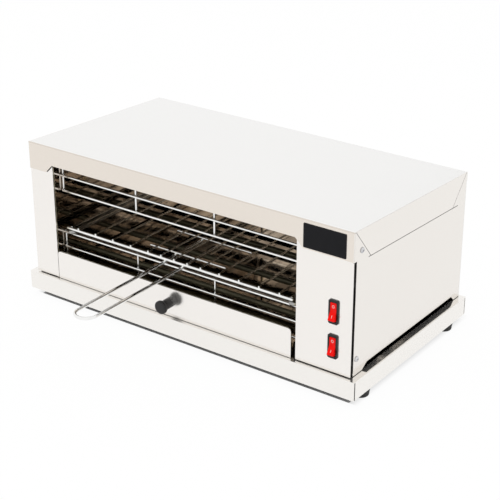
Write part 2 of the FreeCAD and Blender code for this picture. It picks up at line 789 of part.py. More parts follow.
# Tray knob, turned: a thick stem under a broad cap, with its screw from behind.
knobBack = at(faceFront)
knobCap = -size["knob_length"]
boreDepth = 10
knobPoints = [
    (0, screwRadius), (0, 6.6), (-4, 6.7), (-8, 6.4), (knobCap + 6.4, 5.6), (knobCap + 5.6, 7.2),
    (knobCap + 4.8, 8.7), (knobCap + 4, 9), (knobCap + 1.2, 9), (knobCap + 0.3, 8.2), (knobCap, 6.5),
    (knobCap, 0), (-boreDepth, 0), (-boreDepth, screwRadius),
]
node("tray_knob", turned("yz", knobPoints, knobX, knobBack, knobZ, Vector(0, 1, 0)))
knobShank = rod("y", screwRadius, boreDepth + gauge, knobX, at(faceFront - boreDepth), knobZ)
knobHead = cone("y", 3.8, 3, 2.2, knobX, at(faceRear), knobZ)
node("tray_knob_screw", fuse([knobShank, knobHead]))

# Rocker switches: housing with bezel, rocker on a pin and two blades each.
bezelThick = 1.8
pivotDepth = 1.6
openHalfTall = 12.6
openHalfWide = 4.6
rockerHalfWide = 4.2
tiltNumber = size["rocker_tilt"].number
valley = 2.7
slope = math.tan(math.radians(tiltNumber))
reachZ = 11
edgeOut = valley + reachZ * slope
rockerPoints = [
    (-valley, 0), (-edgeOut, reachZ), (-1.5, 11.7), (0.8, 11.6), (2.0, 9.3), (4.5, 3.5),
    (4.5, -3.5), (2.0, -9.3), (0.8, -11.6), (-1.5, -11.7), (-edgeOut, -reachZ),
]
for spot, height in switchHeights.items():
    outerTall = size["switch_height"] / 2
    outerWide = size["switch_width"] / 2
    clip = 1.5
    bezelPoints = [
        (switchX - outerWide + clip, height - outerTall), (switchX + outerWide - clip, height - outerTall),
        (switchX + outerWide, height - outerTall + clip), (switchX + outerWide, height + outerTall - clip),
        (switchX + outerWide - clip, height + outerTall), (switchX - outerWide + clip, height + outerTall),
        (switchX - outerWide, height + outerTall - clip), (switchX - outerWide, height - outerTall + clip),
    ]
    bezel = prism("xz", bezelPoints, at(faceFront - bezelThick), bezelThick)
    shell = box(switchX - bodyHalfWide, switchX + bodyHalfWide, at(faceFront), at(faceFront + 22),
                height - bodyHalfTall, height + bodyHalfTall)
    cavity = box(switchX - openHalfWide, switchX + openHalfWide, at(faceFront - bezelThick - 1), at(9),
                 height - openHalfTall, height + openHalfTall)
    pinHole = rod("x", 1.4, 2 * bodyHalfWide, switchX - bodyHalfWide, at(pivotDepth), height)
    node("switch_housing_" + spot, cut(fuse([bezel, shell]), [cavity, pinHole]))
    blades = []
    for drop in (-8, 0, 8):
        blades.append(box(switchX - 0.4, switchX + 0.4, at(faceFront + 22), at(faceFront + 30),
                          height + drop - 2.4, height + drop + 2.4))
    node("switch_blades_" + spot, group(blades))
    wedge = doc.addObject("Part::Extrusion", "wedge")
    wedge.Base = outline("yz", rockerPoints, -rockerHalfWide, 0, 0)
    wedge.DirMode = "Normal"
    bind(wedge, "LengthFwd", 2 * rockerHalfWide)
    wedge.Solid = True
    pin = rod("x", 1.1, 2 * bodyHalfWide - 0.2, -bodyHalfWide + 0.1, 0, 0)
    rocker = fuse([wedge, pin])
    # The rocker rests with its upper end pressed in.
    rocker.Placement.Rotation = Rotation(Vector(1, 0, 0), -tiltNumber)
    bind(rocker, ".Placement.Base.x", switchX)
    bind(rocker, ".Placement.Base.y", at(pivotDepth))
    bind(rocker, ".Placement.Base.z", height)
    node("switch_rocker_" + spot, rocker)

# Blank plate on the header.
plateX = halfBody - 10.3
plateZ = headerBottom + 2
node("name_plate", box(plateX - size["plate_width"], plateX, at(-0.8), at(0), plateZ,
                       plateZ + size["plate_height"]))

# Rear panel with cooling slots, under the rear flange of the cover.
rearTop = topAt(rearFace) - gauge - 0.3
rearCuts = []
for index in range(14):
    slotX = -halfBody + 55 + index * 29
    rearCuts.append(box(slotX, slotX + 20, at(panelEnd - 1), at(rearFace), baseTop + 128, baseTop + 131))
    rearCuts.append(box(slotX, slotX + 20, at(panelEnd - 1), at(rearFace), baseTop + 138, baseTop + 141))
glandX = halfBody - 45
glandZ = baseTop + 30
rearCuts.append(rod("y", 7, 6, glandX, at(panelEnd - 2), glandZ))
coverHoles = []
rearScrews = []
for index in range(4):
    screwX = -halfBody + 25 + (size["body_width"] - 50) / 3 * index
    screwZ = topAt(rearFace) - 6.5
    rearCuts.append(rod("y", 1.5, 6, screwX, at(panelEnd - 2), screwZ))
    coverHoles.append(rod("y", 1.5, 6, screwX, at(panelEnd - 2), screwZ))
    rearScrews.append(fuse([
        rod("y", 1.5, 6 + gauge, screwX, at(rearFace - 6 - gauge), screwZ),
        cone("y", 3, 2.2, 2, screwX, at(rearFace), screwZ),
    ]))
for side in (-1, 1):
    for height in (baseTop + 20, baseTop + 100):
        screwX = (halfBody - 7) * side
        rearCuts.append(rod("y", 1.5, 6, screwX, at(panelEnd - 2), height))
        rearScrews.append(fuse([
            rod("y", 1.5, 6, screwX, at(rearFace - gauge - 6), height),
            cone("y", 3, 2.2, 2, screwX, at(rearFace - gauge), height),
        ]))
rearBody = box(-halfBody, halfBody, at(panelEnd), at(rearFace - gauge), baseTop, rearTop)
node("rear_panel", cut(rearBody, rearCuts))
node("rear_screws", group(rearScrews))
node("top_cover", cut(coverBody, coverHoles))

# Rear corner brackets that hold the rear panel to the side panels.
for side, name in ((-1, "rear_bracket_left"), (1, "rear_bracket_right")):
    bracketTop = topAt(panelEnd) - size["flap_depth"] - 12
    sideLeg = sideBox(side, halfBody - 2 * gauge, halfBody - gauge, at(panelEnd - 14), at(panelEnd),
                      baseTop + gauge, bracketTop)
    backLeg = sideBox(side, halfBody - 14, halfBody - 2 * gauge, at(panelEnd - gauge), at(panelEnd),
                      baseTop + gauge, bracketTop)
    holes = [rod("y", 1.5, 6, (halfBody - 7) * side, at(panelEnd - 4), height)
             for height in (baseTop + 20, baseTop + 100)]
    node(name, cut(fuse([sideLeg, backLeg]), holes))

# Cable gland, its nut, the terminal block and the leads of the switches.
glandBack = at(rearFace - gauge)
glandPoints = [
    (-5.5, 1.8), (-5.5, 7), (0, 7), (0, 10), (4, 10), (5, 9), (10, 8.5), (13, 6.5), (13, 1.8),
]
node("cable_gland", turned("yz", glandPoints, glandX, glandBack, glandZ, Vector(0, 1, 0)))
glandNut = rod("y", 10, 4, glandX, at(panelEnd - 4), glandZ)
node("gland_nut", cut(glandNut, [rod("y", 7, 4, glandX, at(panelEnd - 4), glandZ)]))
blockX = openingRight + 20
blockFront = rearFace - 42
node("terminal_block", box(blockX, blockX + 36, at(blockFront), at(blockFront + 16), baseTop, baseTop + 16))
leads = []
for index, (spot, drop) in enumerate((("upper", 8), ("upper", -8), ("lower", 8), ("lower", -8))):
    leadX = switchX.number
    startZ = (switchHeights[spot] + drop).number
    endX = (blockX + 5 + index * 8.5).number
    endZ = (baseTop + 12).number
    route = bentPath([
        Vector(leadX, at(faceFront + 30).number, startZ),
        Vector(leadX, at(46 + index * 4).number, startZ),
        Vector(endX, at(70 + index * 6).number, endZ),
        Vector(endX, at(blockFront).number, endZ),
    ], 6)
    leads.append(bentRod(route, 1.2))
node("switch_leads", group(leads))
node("base_pan", cut(fuse(panPieces), panCuts))

doc.recompute()

# Every piece has to be sound before it is written.
os.makedirs("parts", exist_ok=True)
problems = []
for item in doc.Objects:
    if "Invalid" in item.State or "Error" in item.State:
        problems.append("%s is in state %s" % (item.Label, item.State))
for name, item in nodes.items():
    shape = item.Shape
    if shape.isNull() or not shape.isValid() or not shape.Solids:
        problems.append("%s has no sound solid" % name)
if problems:
    raise RuntimeError("; ".join(problems))
for name, item in nodes.items():
    item.Shape.exportStep("parts/%s.step" % name)
    print("%-24s %2d solids %10.1f mm3" % (name, len(item.Shape.Solids), item.Shape.Volume))
print(len(nodes), "pieces written")
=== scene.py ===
import json
import math
import bmesh
import bpy
import numpy as np
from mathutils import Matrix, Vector


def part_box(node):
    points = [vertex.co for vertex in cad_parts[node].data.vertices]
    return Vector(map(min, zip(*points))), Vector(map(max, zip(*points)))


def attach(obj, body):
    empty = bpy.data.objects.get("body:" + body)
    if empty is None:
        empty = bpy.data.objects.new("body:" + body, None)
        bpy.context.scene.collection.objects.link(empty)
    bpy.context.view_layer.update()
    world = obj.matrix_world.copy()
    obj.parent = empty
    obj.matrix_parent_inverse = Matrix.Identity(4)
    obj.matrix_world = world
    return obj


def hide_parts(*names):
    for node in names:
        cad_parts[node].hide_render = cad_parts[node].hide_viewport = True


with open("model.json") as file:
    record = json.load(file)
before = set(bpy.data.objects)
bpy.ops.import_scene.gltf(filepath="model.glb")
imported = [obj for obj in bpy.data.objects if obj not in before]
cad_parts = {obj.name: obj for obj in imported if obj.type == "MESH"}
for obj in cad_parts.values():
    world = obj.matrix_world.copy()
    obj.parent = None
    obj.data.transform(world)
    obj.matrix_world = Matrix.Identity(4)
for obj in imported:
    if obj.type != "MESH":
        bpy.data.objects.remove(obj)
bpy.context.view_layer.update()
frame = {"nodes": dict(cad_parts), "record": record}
cadNodes = frame["nodes"]
bodyOf = {name: body for body, names in frame["record"]["behaviour"]["bodies"].items() for name in names}
mm = 0.001
print("frame loaded:", len(cadNodes), "pieces")


class Tap:
    # one output socket, so that sums on a shader value read as plain sums
    def __init__(self, finish, socket):
        self.finish = finish
        self.socket = socket

    def maths(self, operation, first, second):
        return self.finish.add("ShaderNodeMath", {"operation": operation}, {0: first, 1: second})

    def __add__(self, other):
        return self.maths("ADD", self, other)

    def __sub__(self, other):
        return self.maths("SUBTRACT", self, other)

    def __rsub__(self, other):
        return self.maths("SUBTRACT", other, self)

    def __mul__(self, other):
        return self.maths("MULTIPLY", self, other)

    def __gt__(self, other):
        return self.maths("GREATER_THAN", self, other)

    def __lt__(self, other):
        return self.maths("LESS_THAN", self, other)

    def __or__(self, other):
        return self.maths("MAXIMUM", self, other)

    def __abs__(self):
        return self.maths("ABSOLUTE", self, 0.0)

    __radd__ = __add__
    __rmul__ = __mul__


class Finish:
    # a material around one Principled shader; fixed values sit on the shader's own sockets
    def __init__(self, name, **fixed):
        self.material = bpy.data.materials.new(name)
        self.material.use_nodes = True
        self.tree = self.material.node_tree
        self.tree.nodes.clear()
        self.shader = self.tree.nodes.new("ShaderNodeBsdfPrincipled")
        output = self.tree.nodes.new("ShaderNodeOutputMaterial")
        self.tree.links.new(self.shader.outputs[0], output.inputs["Surface"])
        self.feed({key.replace("_", " "): value for key, value in fixed.items()})

    def add(self, kind, settings, sockets, output=0):
        node = self.tree.nodes.new(kind)
        for key, value in settings.items():
            if key == "stops":
                ramp = node.color_ramp.elements
                while len(ramp) < len(value):
                    ramp.new(0.5)
                for stop, (place, colour) in zip(ramp, value):
                    stop.position = place
                    stop.color = (*colour, 1.0)
            else:
                setattr(node, key, value)
        self.plug(node, sockets)
        return Tap(self, node.outputs[output])

    def plug(self, node, sockets):
        for key, value in sockets.items():
            if isinstance(value, Tap):
                self.tree.links.new(value.socket, node.inputs[key])
            elif isinstance(value, tuple) and len(value) == 3 and node.inputs[key].type == "RGBA":
                node.inputs[key].default_value = (*value, 1.0)
            else:
                node.inputs[key].default_value = value

    def feed(self, sockets):
        self.plug(self.shader, sockets)

    def spot(self):
        return self.add("ShaderNodeTexCoord", {}, {}, "Object")

    def axis(self, name):
        return self.add("ShaderNodeSeparateXYZ", {}, {"Vector": self.spot()}, name)

    def stretch(self, scale):
        return self.add("ShaderNodeMapping", {}, {"Vector": self.spot(), "Scale": scale})

    def noise(self, where, scale, detail=3.0, roughness=0.5):
        return self.add("ShaderNodeTexNoise", {}, {"Vector": where, "Scale": scale, "Detail": detail,
                                                   "Roughness": roughness})

    def spread(self, value, low, high, toLow, toHigh):
        return self.add("ShaderNodeMapRange", {"clamp": True}, {
            "Value": value, "From Min": low, "From Max": high, "To Min": toLow, "To Max": toHigh})

    def blend(self, share, first, second):
        return self.add("ShaderNodeMix", {"data_type": "RGBA"}, {0: share, 6: first, 7: second}, 2)

    def bump(self, height, distance, strength=1.0):
        return self.add("ShaderNodeBump", {}, {"Height": height, "Distance": distance, "Strength": strength})


finishes = {}


# outer faces of the body and the top of the ledge in mm, as the CAD has them
shell = {"front": -57.5, "half": 250.0, "top": 222.0, "ledge": 35.0}


def sheetSteel(name, colour, grain, roughness, patches=()):
    # bright rolled sheet: hairline grain stretched along one axis, cloudy roughness, faint wipe marks.
    # a patch is a face of the folded sheet with a colour and polish of its own; most patches are painted
    # shade or painted light
    finish = Finish(name, Metallic=0.92)
    fine = finish.noise(finish.stretch(grain), 1.0, 4.0, 0.6)
    cloud = finish.noise(finish.spot(), 9.0, 3.0)
    wipe = finish.noise(finish.stretch(tuple(0.05 * part for part in grain)), 1.0, 2.0)
    streak = tuple(0.985 * part for part in colour)
    base = finish.blend(finish.spread(fine, 0.3, 0.7, 0.0, 1.0), streak, colour)
    gloss = fine * 0.4 + cloud * 0.4 + wipe * 0.2
    polish = finish.spread(gloss, 0.3, 0.7, roughness - 0.04, roughness + 0.04)
    for patch, patchColour, patchRoughness in patches:
        share = patch(finish)
        base = finish.blend(share, base, patchColour)
        polish = polish + share * (patchRoughness - roughness)
    finish.feed({"Base Color": base, "Roughness": polish, "Normal": finish.bump(fine, 0.00002, 0.12)})
    finishes[name] = finish.material


def headerShade(finish):
    # painted shade: the front face of the cover is painted darker and warmer than the top of the same sheet,
    # as a painted warm reflection
    return finish.axis("Y") < (shell["front"] + 0.7) * mm


def flapSideShade(finish):
    # the two flaps of the cover that lie in the plane of the side panels, painted in the side tone: painted
    # shade, a little darker and warmer than the top of the same sheet
    return abs(finish.axis("X")) > (shell["half"] - 0.7) * mm


def innerShade(finish):
    # painted shade: everything behind the outer skin of a side panel is painted nearly black, though the
    # real sheet is bright, so that the ledge mirrors a dark gap
    return abs(finish.axis("X")) < (shell["half"] - 0.6) * mm


def jambFace(finish):
    # the jambs behind the front plates
    return finish.axis("Y") > (shell["front"] + 2.3) * mm


def ledgeFace(finish):
    # the flat ledge beside the body, which mirrors the vent above it
    beside = abs(finish.axis("X")) > (shell["half"] - 1.5) * mm
    return (finish.axis("Z") > (shell["ledge"] - 0.3) * mm) * beside


def footShade(finish):
    # painted shade along the joint where a side panel stands on the ledge
    return finish.axis("Z") < (shell["ledge"] + 0.9) * mm


def cornerShade(finish):
    # painted shade around the open corner between the front skirt and a side skirt
    corner = abs(finish.axis("Y") - (shell["front"] - 2.4) * mm) < 1.0 * mm
    return corner * (finish.axis("Z") < (shell["ledge"] - 0.8) * mm)


def foldShade(finish):
    # painted shade along the narrow bend between the top and the header
    ahead = finish.axis("Y") < (shell["front"] + 1.1) * mm
    return ahead * (finish.axis("Z") > (shell["top"] - 1.4) * mm)


notch = {"slant": 407.3, "wide": 2.1, "low": 185.5, "high": 196.0}


def notchShade(finish):
    # a painted thin shade on the left post along the slanted end of the header
    slant = finish.axis("X") - finish.axis("Z") + notch["slant"] * mm
    near = (slant > 0) * (slant < notch["wide"] * mm)
    return near * (finish.axis("Z") > notch["low"] * mm) * (finish.axis("Z") < notch["high"] * mm)


pan = {"half": 257.2, "middle": 75.5, "reach": 136.2, "bodyMiddle": 76.5, "bodyReach": 131.0}


def shadedPan(finish):
    # painted shade: the base pan inside its skirts and under the body is painted nearly black, though the
    # real sheet is bright, as dark as the gap beside it
    inside = (abs(finish.axis("X")) < pan["half"] * mm) * (
        abs(finish.axis("Y") - pan["middle"] * mm) < pan["reach"] * mm)
    underBody = (abs(finish.axis("X")) < (shell["half"] - 1.5) * mm) * (
        abs(finish.axis("Y") - pan["bodyMiddle"] * mm) < pan["bodyReach"] * mm)
    return inside * (finish.axis("Z") < (shell["ledge"] - 0.3) * mm) | underBody


acrossGrain = (14.0, 900.0, 900.0)
alongGrain = (900.0, 14.0, 900.0)
# painted shade for faces that look to the side, a little darker and warmer than the top
paintedSideTone = (0.865, 0.832, 0.79)
shadeTone = (0.05, 0.046, 0.04)
# the outer steels are one brushed steel in tones set panel by panel for how the light falls on them: painted
# light and shade
sheetSteel("coverSteel", (0.878, 0.872, 0.86), acrossGrain, 0.2, [
    (headerShade, (0.825, 0.762, 0.692), 0.24), (flapSideShade, paintedSideTone, 0.17),
    (foldShade, (0.74, 0.68, 0.61), 0.2)])
sheetSteel("frontSteel", (0.918, 0.888, 0.853), acrossGrain, 0.2, [
    (jambFace, (0.85, 0.81, 0.62), 0.5), (notchShade, shadeTone, 0.4)])
sheetSteel("sideSteel", paintedSideTone, alongGrain, 0.17, [
    (footShade, shadeTone, 0.5), (innerShade, shadeTone, 0.5)])
sheetSteel("baseSteel", (0.92, 0.897, 0.862), acrossGrain, 0.24, [
    (ledgeFace, (0.9, 0.875, 0.84), 0.085), (cornerShade, shadeTone, 0.5), (shadedPan, shadeTone, 0.5)])
sheetSteel("rearSteel", (0.87, 0.86, 0.84), acrossGrain, 0.24)
# painted shade: the steel pieces behind the skin are painted much darker than the real bright sheet
sheetSteel("shadeDarkSteel", (0.12, 0.116, 0.11), acrossGrain, 0.5)  # darker than real, for the same gap


def polishedLiner(name, dark, middle, light, roughness, wave):
    # bright-rolled liner, slightly wavy, with straw and brown tones drawn out along the rolling direction
    # from front to rear;
    # the tones are partly heat tint and partly painted reflection, darker than real steel, of the dark and
    # warm cavity
    finish = Finish(name, Metallic=1.0)
    tint = finish.noise(finish.stretch((22.0, 7.0, 22.0)), 1.0, 5.0, 0.6)
    fine = finish.noise(finish.stretch((420.0, 9.0, 420.0)), 1.0, 3.0)
    swell = finish.noise(finish.spot(), 11.0, 1.0)
    stops = [(0.36, dark), (0.5, middle), (0.64, light)]
    finish.feed({
        "Base Color": finish.add("ShaderNodeValToRGB", {"stops": stops}, {0: tint * 0.85 + fine * 0.15}),
        "Roughness": finish.spread(fine * 0.6 + tint * 0.4, 0.3, 0.7, roughness, roughness + 0.04),
        "Normal": finish.bump(swell, wave, 0.5),
    })
    finishes[name] = finish.material


def platedWire(name, dark, light, roughness):
    # drawn wire under bright chrome or satin zinc, with small haze in the polish
    finish = Finish(name, Metallic=1.0)
    haze = finish.noise(finish.spot(), 120.0, 3.0)
    finish.feed({
        "Base Color": finish.blend(finish.spread(haze, 0.35, 0.65, 0.0, 1.0), dark, light),
        "Roughness": finish.spread(haze, 0.3, 0.7, roughness, roughness + 0.03),
        "Normal": finish.bump(haze, 0.00002, 0.1),
    })
    finishes[name] = finish.material


def heatingSheath():
    # oxidised rod sheath, dark olive with lighter scale
    finish = Finish("heatingSheath", Metallic=0.6)
    scale = finish.noise(finish.stretch((40.0, 160.0, 160.0)), 1.0, 5.0, 0.6)
    stops = [(0.35, (0.045, 0.04, 0.022)), (0.6, (0.085, 0.077, 0.045)), (0.75, (0.13, 0.12, 0.08))]
    finish.feed({
        "Base Color": finish.add("ShaderNodeValToRGB", {"stops": stops}, {0: scale}),
        "Roughness": finish.spread(scale, 0.3, 0.7, 0.36, 0.5),
        "Normal": finish.bump(scale, 0.0001, 0.3),
    })
    finishes["heatingSheath"] = finish.material


def moulded(name, dark, light, roughness, grainSize, depth, shine=0.5):
    # moulded plastic, rubber or ceramic: fine texture, slight mottling and small changes of gloss
    finish = Finish(name, Specular_IOR_Level=shine)
    grain = finish.noise(finish.spot(), grainSize, 3.0, 0.6)
    cloud = finish.noise(finish.spot(), 60.0, 3.0)
    mottle = finish.spread(grain * 0.5 + cloud * 0.5, 0.35, 0.65, 0.0, 1.0)
    gloss = grain * 0.4 + cloud * 0.6
    finish.feed({
        "Base Color": finish.blend(mottle, dark, light),
        "Roughness": finish.spread(gloss, 0.3, 0.7, roughness - 0.05, roughness + 0.07),
        "Normal": finish.bump(grain, depth, 0.5),
    })
    finishes[name] = finish.material


def smallMetal(name, dark, light, roughness):
    # plated fasteners and brass pins
    finish = Finish(name, Metallic=1.0)
    haze = finish.noise(finish.spot(), 400.0, 3.0)
    finish.feed({
        "Base Color": finish.blend(finish.spread(haze, 0.35, 0.65, 0.0, 1.0), dark, light),
        "Roughness": finish.spread(haze, 0.3, 0.7, roughness - 0.05, roughness + 0.08),
        "Normal": finish.bump(haze, 0.00003, 0.4),
    })
    finishes[name] = finish.material


# painted shade and light: the tray liner is painted darker and the back liner lighter than the walls, for
# the light that reaches each inside the cavity
polishedLiner("wallLiner", (0.26, 0.225, 0.19), (0.56, 0.5, 0.44), (0.78, 0.72, 0.66), 0.015, 0.00006)
polishedLiner("trayLiner", (0.16, 0.13, 0.1), (0.42, 0.36, 0.3), (0.7, 0.63, 0.54), 0.015, 0.00006)
polishedLiner("backLiner", (0.4, 0.35, 0.29), (0.7, 0.64, 0.56), (0.86, 0.8, 0.72), 0.01, 0.00005)
platedWire("chromedWire", (0.84, 0.84, 0.83), (0.9, 0.9, 0.89), 0.015)
platedWire("satinWire", (0.84, 0.84, 0.82), (0.9, 0.9, 0.88), 0.03)
platedWire("dullWire", (0.34, 0.335, 0.32), (0.46, 0.455, 0.44), 0.22)
heatingSheath()
moulded("footRubber", (0.012, 0.012, 0.012), (0.022, 0.022, 0.021), 0.7, 900.0, 0.00006)
moulded("blackPlastic", (0.008, 0.008, 0.008), (0.013, 0.012, 0.012), 0.2, 1200.0, 0.00003, 0.34)
moulded("blackPlate", (0.006, 0.006, 0.0075), (0.009, 0.009, 0.011), 0.3, 1500.0, 0.00002, 0.12)
moulded("redRocker", (0.86, 0.003, 0.0015), (0.92, 0.006, 0.003), 0.25, 900.0, 0.00001, 0.12)
moulded("whiteMark", (0.8, 0.68, 0.66), (0.86, 0.74, 0.72), 0.4, 900.0, 0.00001, 0.2)
moulded("insulatorCeramic", (0.66, 0.63, 0.56), (0.76, 0.73, 0.67), 0.5, 500.0, 0.00005)
moulded("leadSleeve", (0.5, 0.47, 0.42), (0.58, 0.55, 0.5), 0.6, 1500.0, 0.00006)
moulded("darkCloth", (0.012, 0.012, 0.012), (0.02, 0.02, 0.02), 0.9, 300.0, 0.0001, 0.0)
smallMetal("brightFastener", (0.5, 0.5, 0.52), (0.72, 0.72, 0.73), 0.08)
smallMetal("brassTerminal", (0.66, 0.5, 0.24), (0.75, 0.58, 0.3), 0.3)
slotFinish = {
    "brushed_steel": "shadeDarkSteel", "polished_liner": "wallLiner", "chromed_wire": "chromedWire",
    "heating_rod": "heatingSheath", "insulator_ceramic": "insulatorCeramic",
    "brass_terminal": "brassTerminal", "bright_fastener": "brightFastener", "foot_rubber": "footRubber",
    "black_plastic": "blackPlastic", "black_plate": "blackPlate", "red_rocker": "redRocker",
    "lead_sleeve": "leadSleeve",
}
finishSlot = {finish: slot for slot, finish in slotFinish.items()}
finishSlot.update({
    "coverSteel": "brushed_steel", "frontSteel": "brushed_steel", "sideSteel": "brushed_steel",
    "baseSteel": "brushed_steel", "rearSteel": "brushed_steel", "trayLiner": "polished_liner",
    "backLiner": "polished_liner", "whiteMark": "red_rocker", "satinWire": "chromed_wire",
    "dullWire": "chromed_wire",
})
print("finishes made:", len(finishes))


# piece makers
def setPiece(name, mesh, finish, stands, body=None):
    # hangs a finished mesh on its body and hides the CAD nodes it stands for
    piece = bpy.data.objects.new(name, mesh)
    bpy.context.scene.collection.objects.link(piece)
    mesh.materials.clear()
    mesh.materials.append(finishes[finish])
    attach(piece, body or bodyOf[stands[0]])
    if stands:
        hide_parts(*stands)
    return piece


def joinGrids(name, grids, smooth=True):
    # grids is a list of (points, faces); the faces of each are shifted past the points before it
    points, faces, count = [], [], 0
    for spots, sides in grids:
        points.append(spots)
        faces.extend((sides + count).tolist() if isinstance(sides, np.ndarray) else
                     [[corner + count for corner in side] for side in sides])
        count += len(spots)
    mesh = bpy.data.meshes.new(name)
    mesh.from_pydata(np.concatenate(points).tolist(), [], faces)
    mesh.validate()
    mesh.polygons.foreach_set("use_smooth", np.full(len(mesh.polygons), smooth))
    mesh.update()
    return mesh


def setGrids(name, grids, finish, stands, body=None, smooth=True):
    setPiece(name, joinGrids(name, grids, smooth), finish, stands, body)


def skin(rings):
    # rings[i, j] is ring i at angle j; quads join the rings, and a pole point closes each end
    rows, turns = rings.shape[:2]
    first, last = rings[0].mean(0), rings[-1].mean(0)
    points = np.concatenate([rings.reshape(-1, 3), first[None], last[None]])
    row = np.arange(rows - 1)[:, None] * turns
    here = np.arange(turns)[None, :]
    after = (here + 1) % turns
    quads = np.stack([row + here, row + after, row + turns + after, row + turns + here], -1).reshape(-1, 4)
    ring = np.arange(turns)
    ahead = (ring + 1) % turns
    top = (rows - 1) * turns
    startCap = np.stack([ahead, ring, np.full(turns, rows * turns)], -1)
    endCap = np.stack([top + ring, top + ahead, np.full(turns, rows * turns + 1)], -1)
    return points, quads.tolist() + startCap.tolist() + endCap.tolist()


def tube(path, radius, turns=14, capRows=5):
    # round wire: a ring of the radius is carried along the path. Near both ends the radius follows
    # the root of 1 - (1 - s / r)^2, with s the distance to the end, which gives a rounded tip
    path = np.asarray(path, float)
    steps = np.linalg.norm(np.diff(path, axis=0), axis=1)
    length = np.concatenate([[0], np.cumsum(steps)])
    tip = radius * (1 - np.cos(np.linspace(0.12, math.pi / 2, capRows)))
    stations = np.unique(np.concatenate([tip, length[(length > radius) & (length < length[-1] - radius)],
                                         length[-1] - tip]))
    spots = np.stack([np.interp(stations, length, path[:, k]) for k in range(3)], -1)
    ahead = np.gradient(spots, stations, axis=0)
    ahead /= np.linalg.norm(ahead, axis=1)[:, None]
    upward = np.array([0.0, 0.0, 1.0]) if abs(ahead[:, 2]).max() < 0.9 else np.array([1.0, 0.0, 0.0])
    side = np.cross(ahead, upward)
    side /= np.linalg.norm(side, axis=1)[:, None]
    lift = np.cross(side, ahead)
    toEnd = np.minimum(stations, length[-1] - stations)
    reach = radius * np.sqrt(np.clip(1 - np.clip(1 - toEnd / radius, 0, 1) ** 2, 0.0001, 1))
    angle = np.linspace(0, 2 * math.pi, turns, endpoint=False)
    circle = np.cos(angle)[None, :, None] * side[:, None] + np.sin(angle)[None, :, None] * lift[:, None]
    return skin(spots[:, None] + reach[:, None, None] * circle)


def bead(centre, reach):
    # weld bead: an ellipsoid with its reaches in mm. Its point at angles (a, b) is
    # centre + reach * (cos b cos a, cos b sin a, sin b)
    reach = np.array(reach) * mm
    b = np.linspace(-math.pi / 2, math.pi / 2, 7)[1:-1, None]
    a = np.linspace(0, 2 * math.pi, 8, endpoint=False)[None, :]
    ball = np.stack([np.cos(b) * np.cos(a), np.cos(b) * np.sin(a), np.sin(b) + 0 * a], -1)
    points, faces = skin(ball * reach + np.array(centre))
    points[-2:, 2] = centre[2] + np.array([-1, 1]) * reach[2]
    return points, faces


axisTurn = {
    "x": np.array([[0, 1, 0], [0, 0, 1], [1, 0, 0]], float),
    "y": np.array([[1, 0, 0], [0, 0, -1], [0, 1, 0]], float),
    "z": np.eye(3),
}


def turnedPiece(profile, centre, axis="z", flip=1, turns=64, flute=None):
    # surface of revolution: the point at angle a on the profile (r, h) is (r cos a, r sin a, h),
    # laid along the axis; flute(a, r, h) may push the radius in and out
    profile = np.asarray(profile, float)
    angle = np.linspace(0, 2 * math.pi, turns, endpoint=False)[None, :]
    radius = profile[:, 0][:, None] + 0 * angle
    height = profile[:, 1][:, None] + 0 * angle
    if flute:
        radius, height = flute(angle, radius, height)
    rings = np.stack([radius * np.cos(angle), flip * radius * np.sin(angle), flip * height], -1)
    return skin(rings @ axisTurn[axis] + np.array(centre))


def roundedProfile(corners, radius, steps=4):
    # the polygon line with each inner corner replaced by points of a quadratic curve that starts and
    # ends the radius away from the corner
    corners = np.asarray(corners, float)
    before, here, after = corners[:-2], corners[1:-1], corners[2:]
    inLength = np.linalg.norm(before - here, axis=1)[:, None]
    outLength = np.linalg.norm(after - here, axis=1)[:, None]
    inReach = np.minimum(radius, 0.45 * inLength)
    outReach = np.minimum(radius, 0.45 * outLength)
    start = here + (before - here) / inLength * inReach
    end = here + (after - here) / outLength * outReach
    t = np.linspace(0, 1, steps + 1)[None, :, None]
    curve = (1 - t) ** 2 * start[:, None] + 2 * t * (1 - t) * here[:, None] + t ** 2 * end[:, None]
    return np.concatenate([corners[:1], curve.reshape(-1, 2), corners[-1:]])


def strands(node):
    # boxes (lowest, highest corner) of the separate solids in a CAD node, sorted by their middles:
    # equal corners get one number, and the smallest number spreads over every edge until it rests
    mesh = cadNodes[node].data
    spots = np.zeros(len(mesh.vertices) * 3)
    mesh.vertices.foreach_get("co", spots)
    spots = spots.reshape(-1, 3)
    edges = np.zeros(len(mesh.edges) * 2, int)
    mesh.edges.foreach_get("vertices", edges)
    same = np.unique(np.round(spots, 6), axis=0, return_inverse=True)[1].ravel()
    edges = same[edges.reshape(-1, 2)]
    label = np.arange(same.max() + 1)
    while True:
        low = np.minimum(label[edges[:, 0]], label[edges[:, 1]])
        fresh = label.copy()
        np.minimum.at(fresh, edges[:, 0], low)
        np.minimum.at(fresh, edges[:, 1], low)
        if (fresh == label).all():
            break
        label = fresh
    label = label[same]
    boxes = [(spots[label == one].min(0), spots[label == one].max(0)) for one in np.unique(label)]
    return sorted(boxes, key=lambda pair: tuple(np.round(pair[0] + pair[1], 5)))


def strandAxis(low, high):
    # a straight wire's two end points and radius, read from its box
    size = high - low
    axis = int(np.argmax(size))
    middle = (low + high) / 2
    ends = np.stack([middle, middle])
    ends[:, axis] = low[axis], high[axis]
    return ends, float(np.sort(size)[0] / 2)


edgeEase = {"reach": 0.25, "steps": 3, "sharp": 32}  # mm, steps of the rounding, degrees


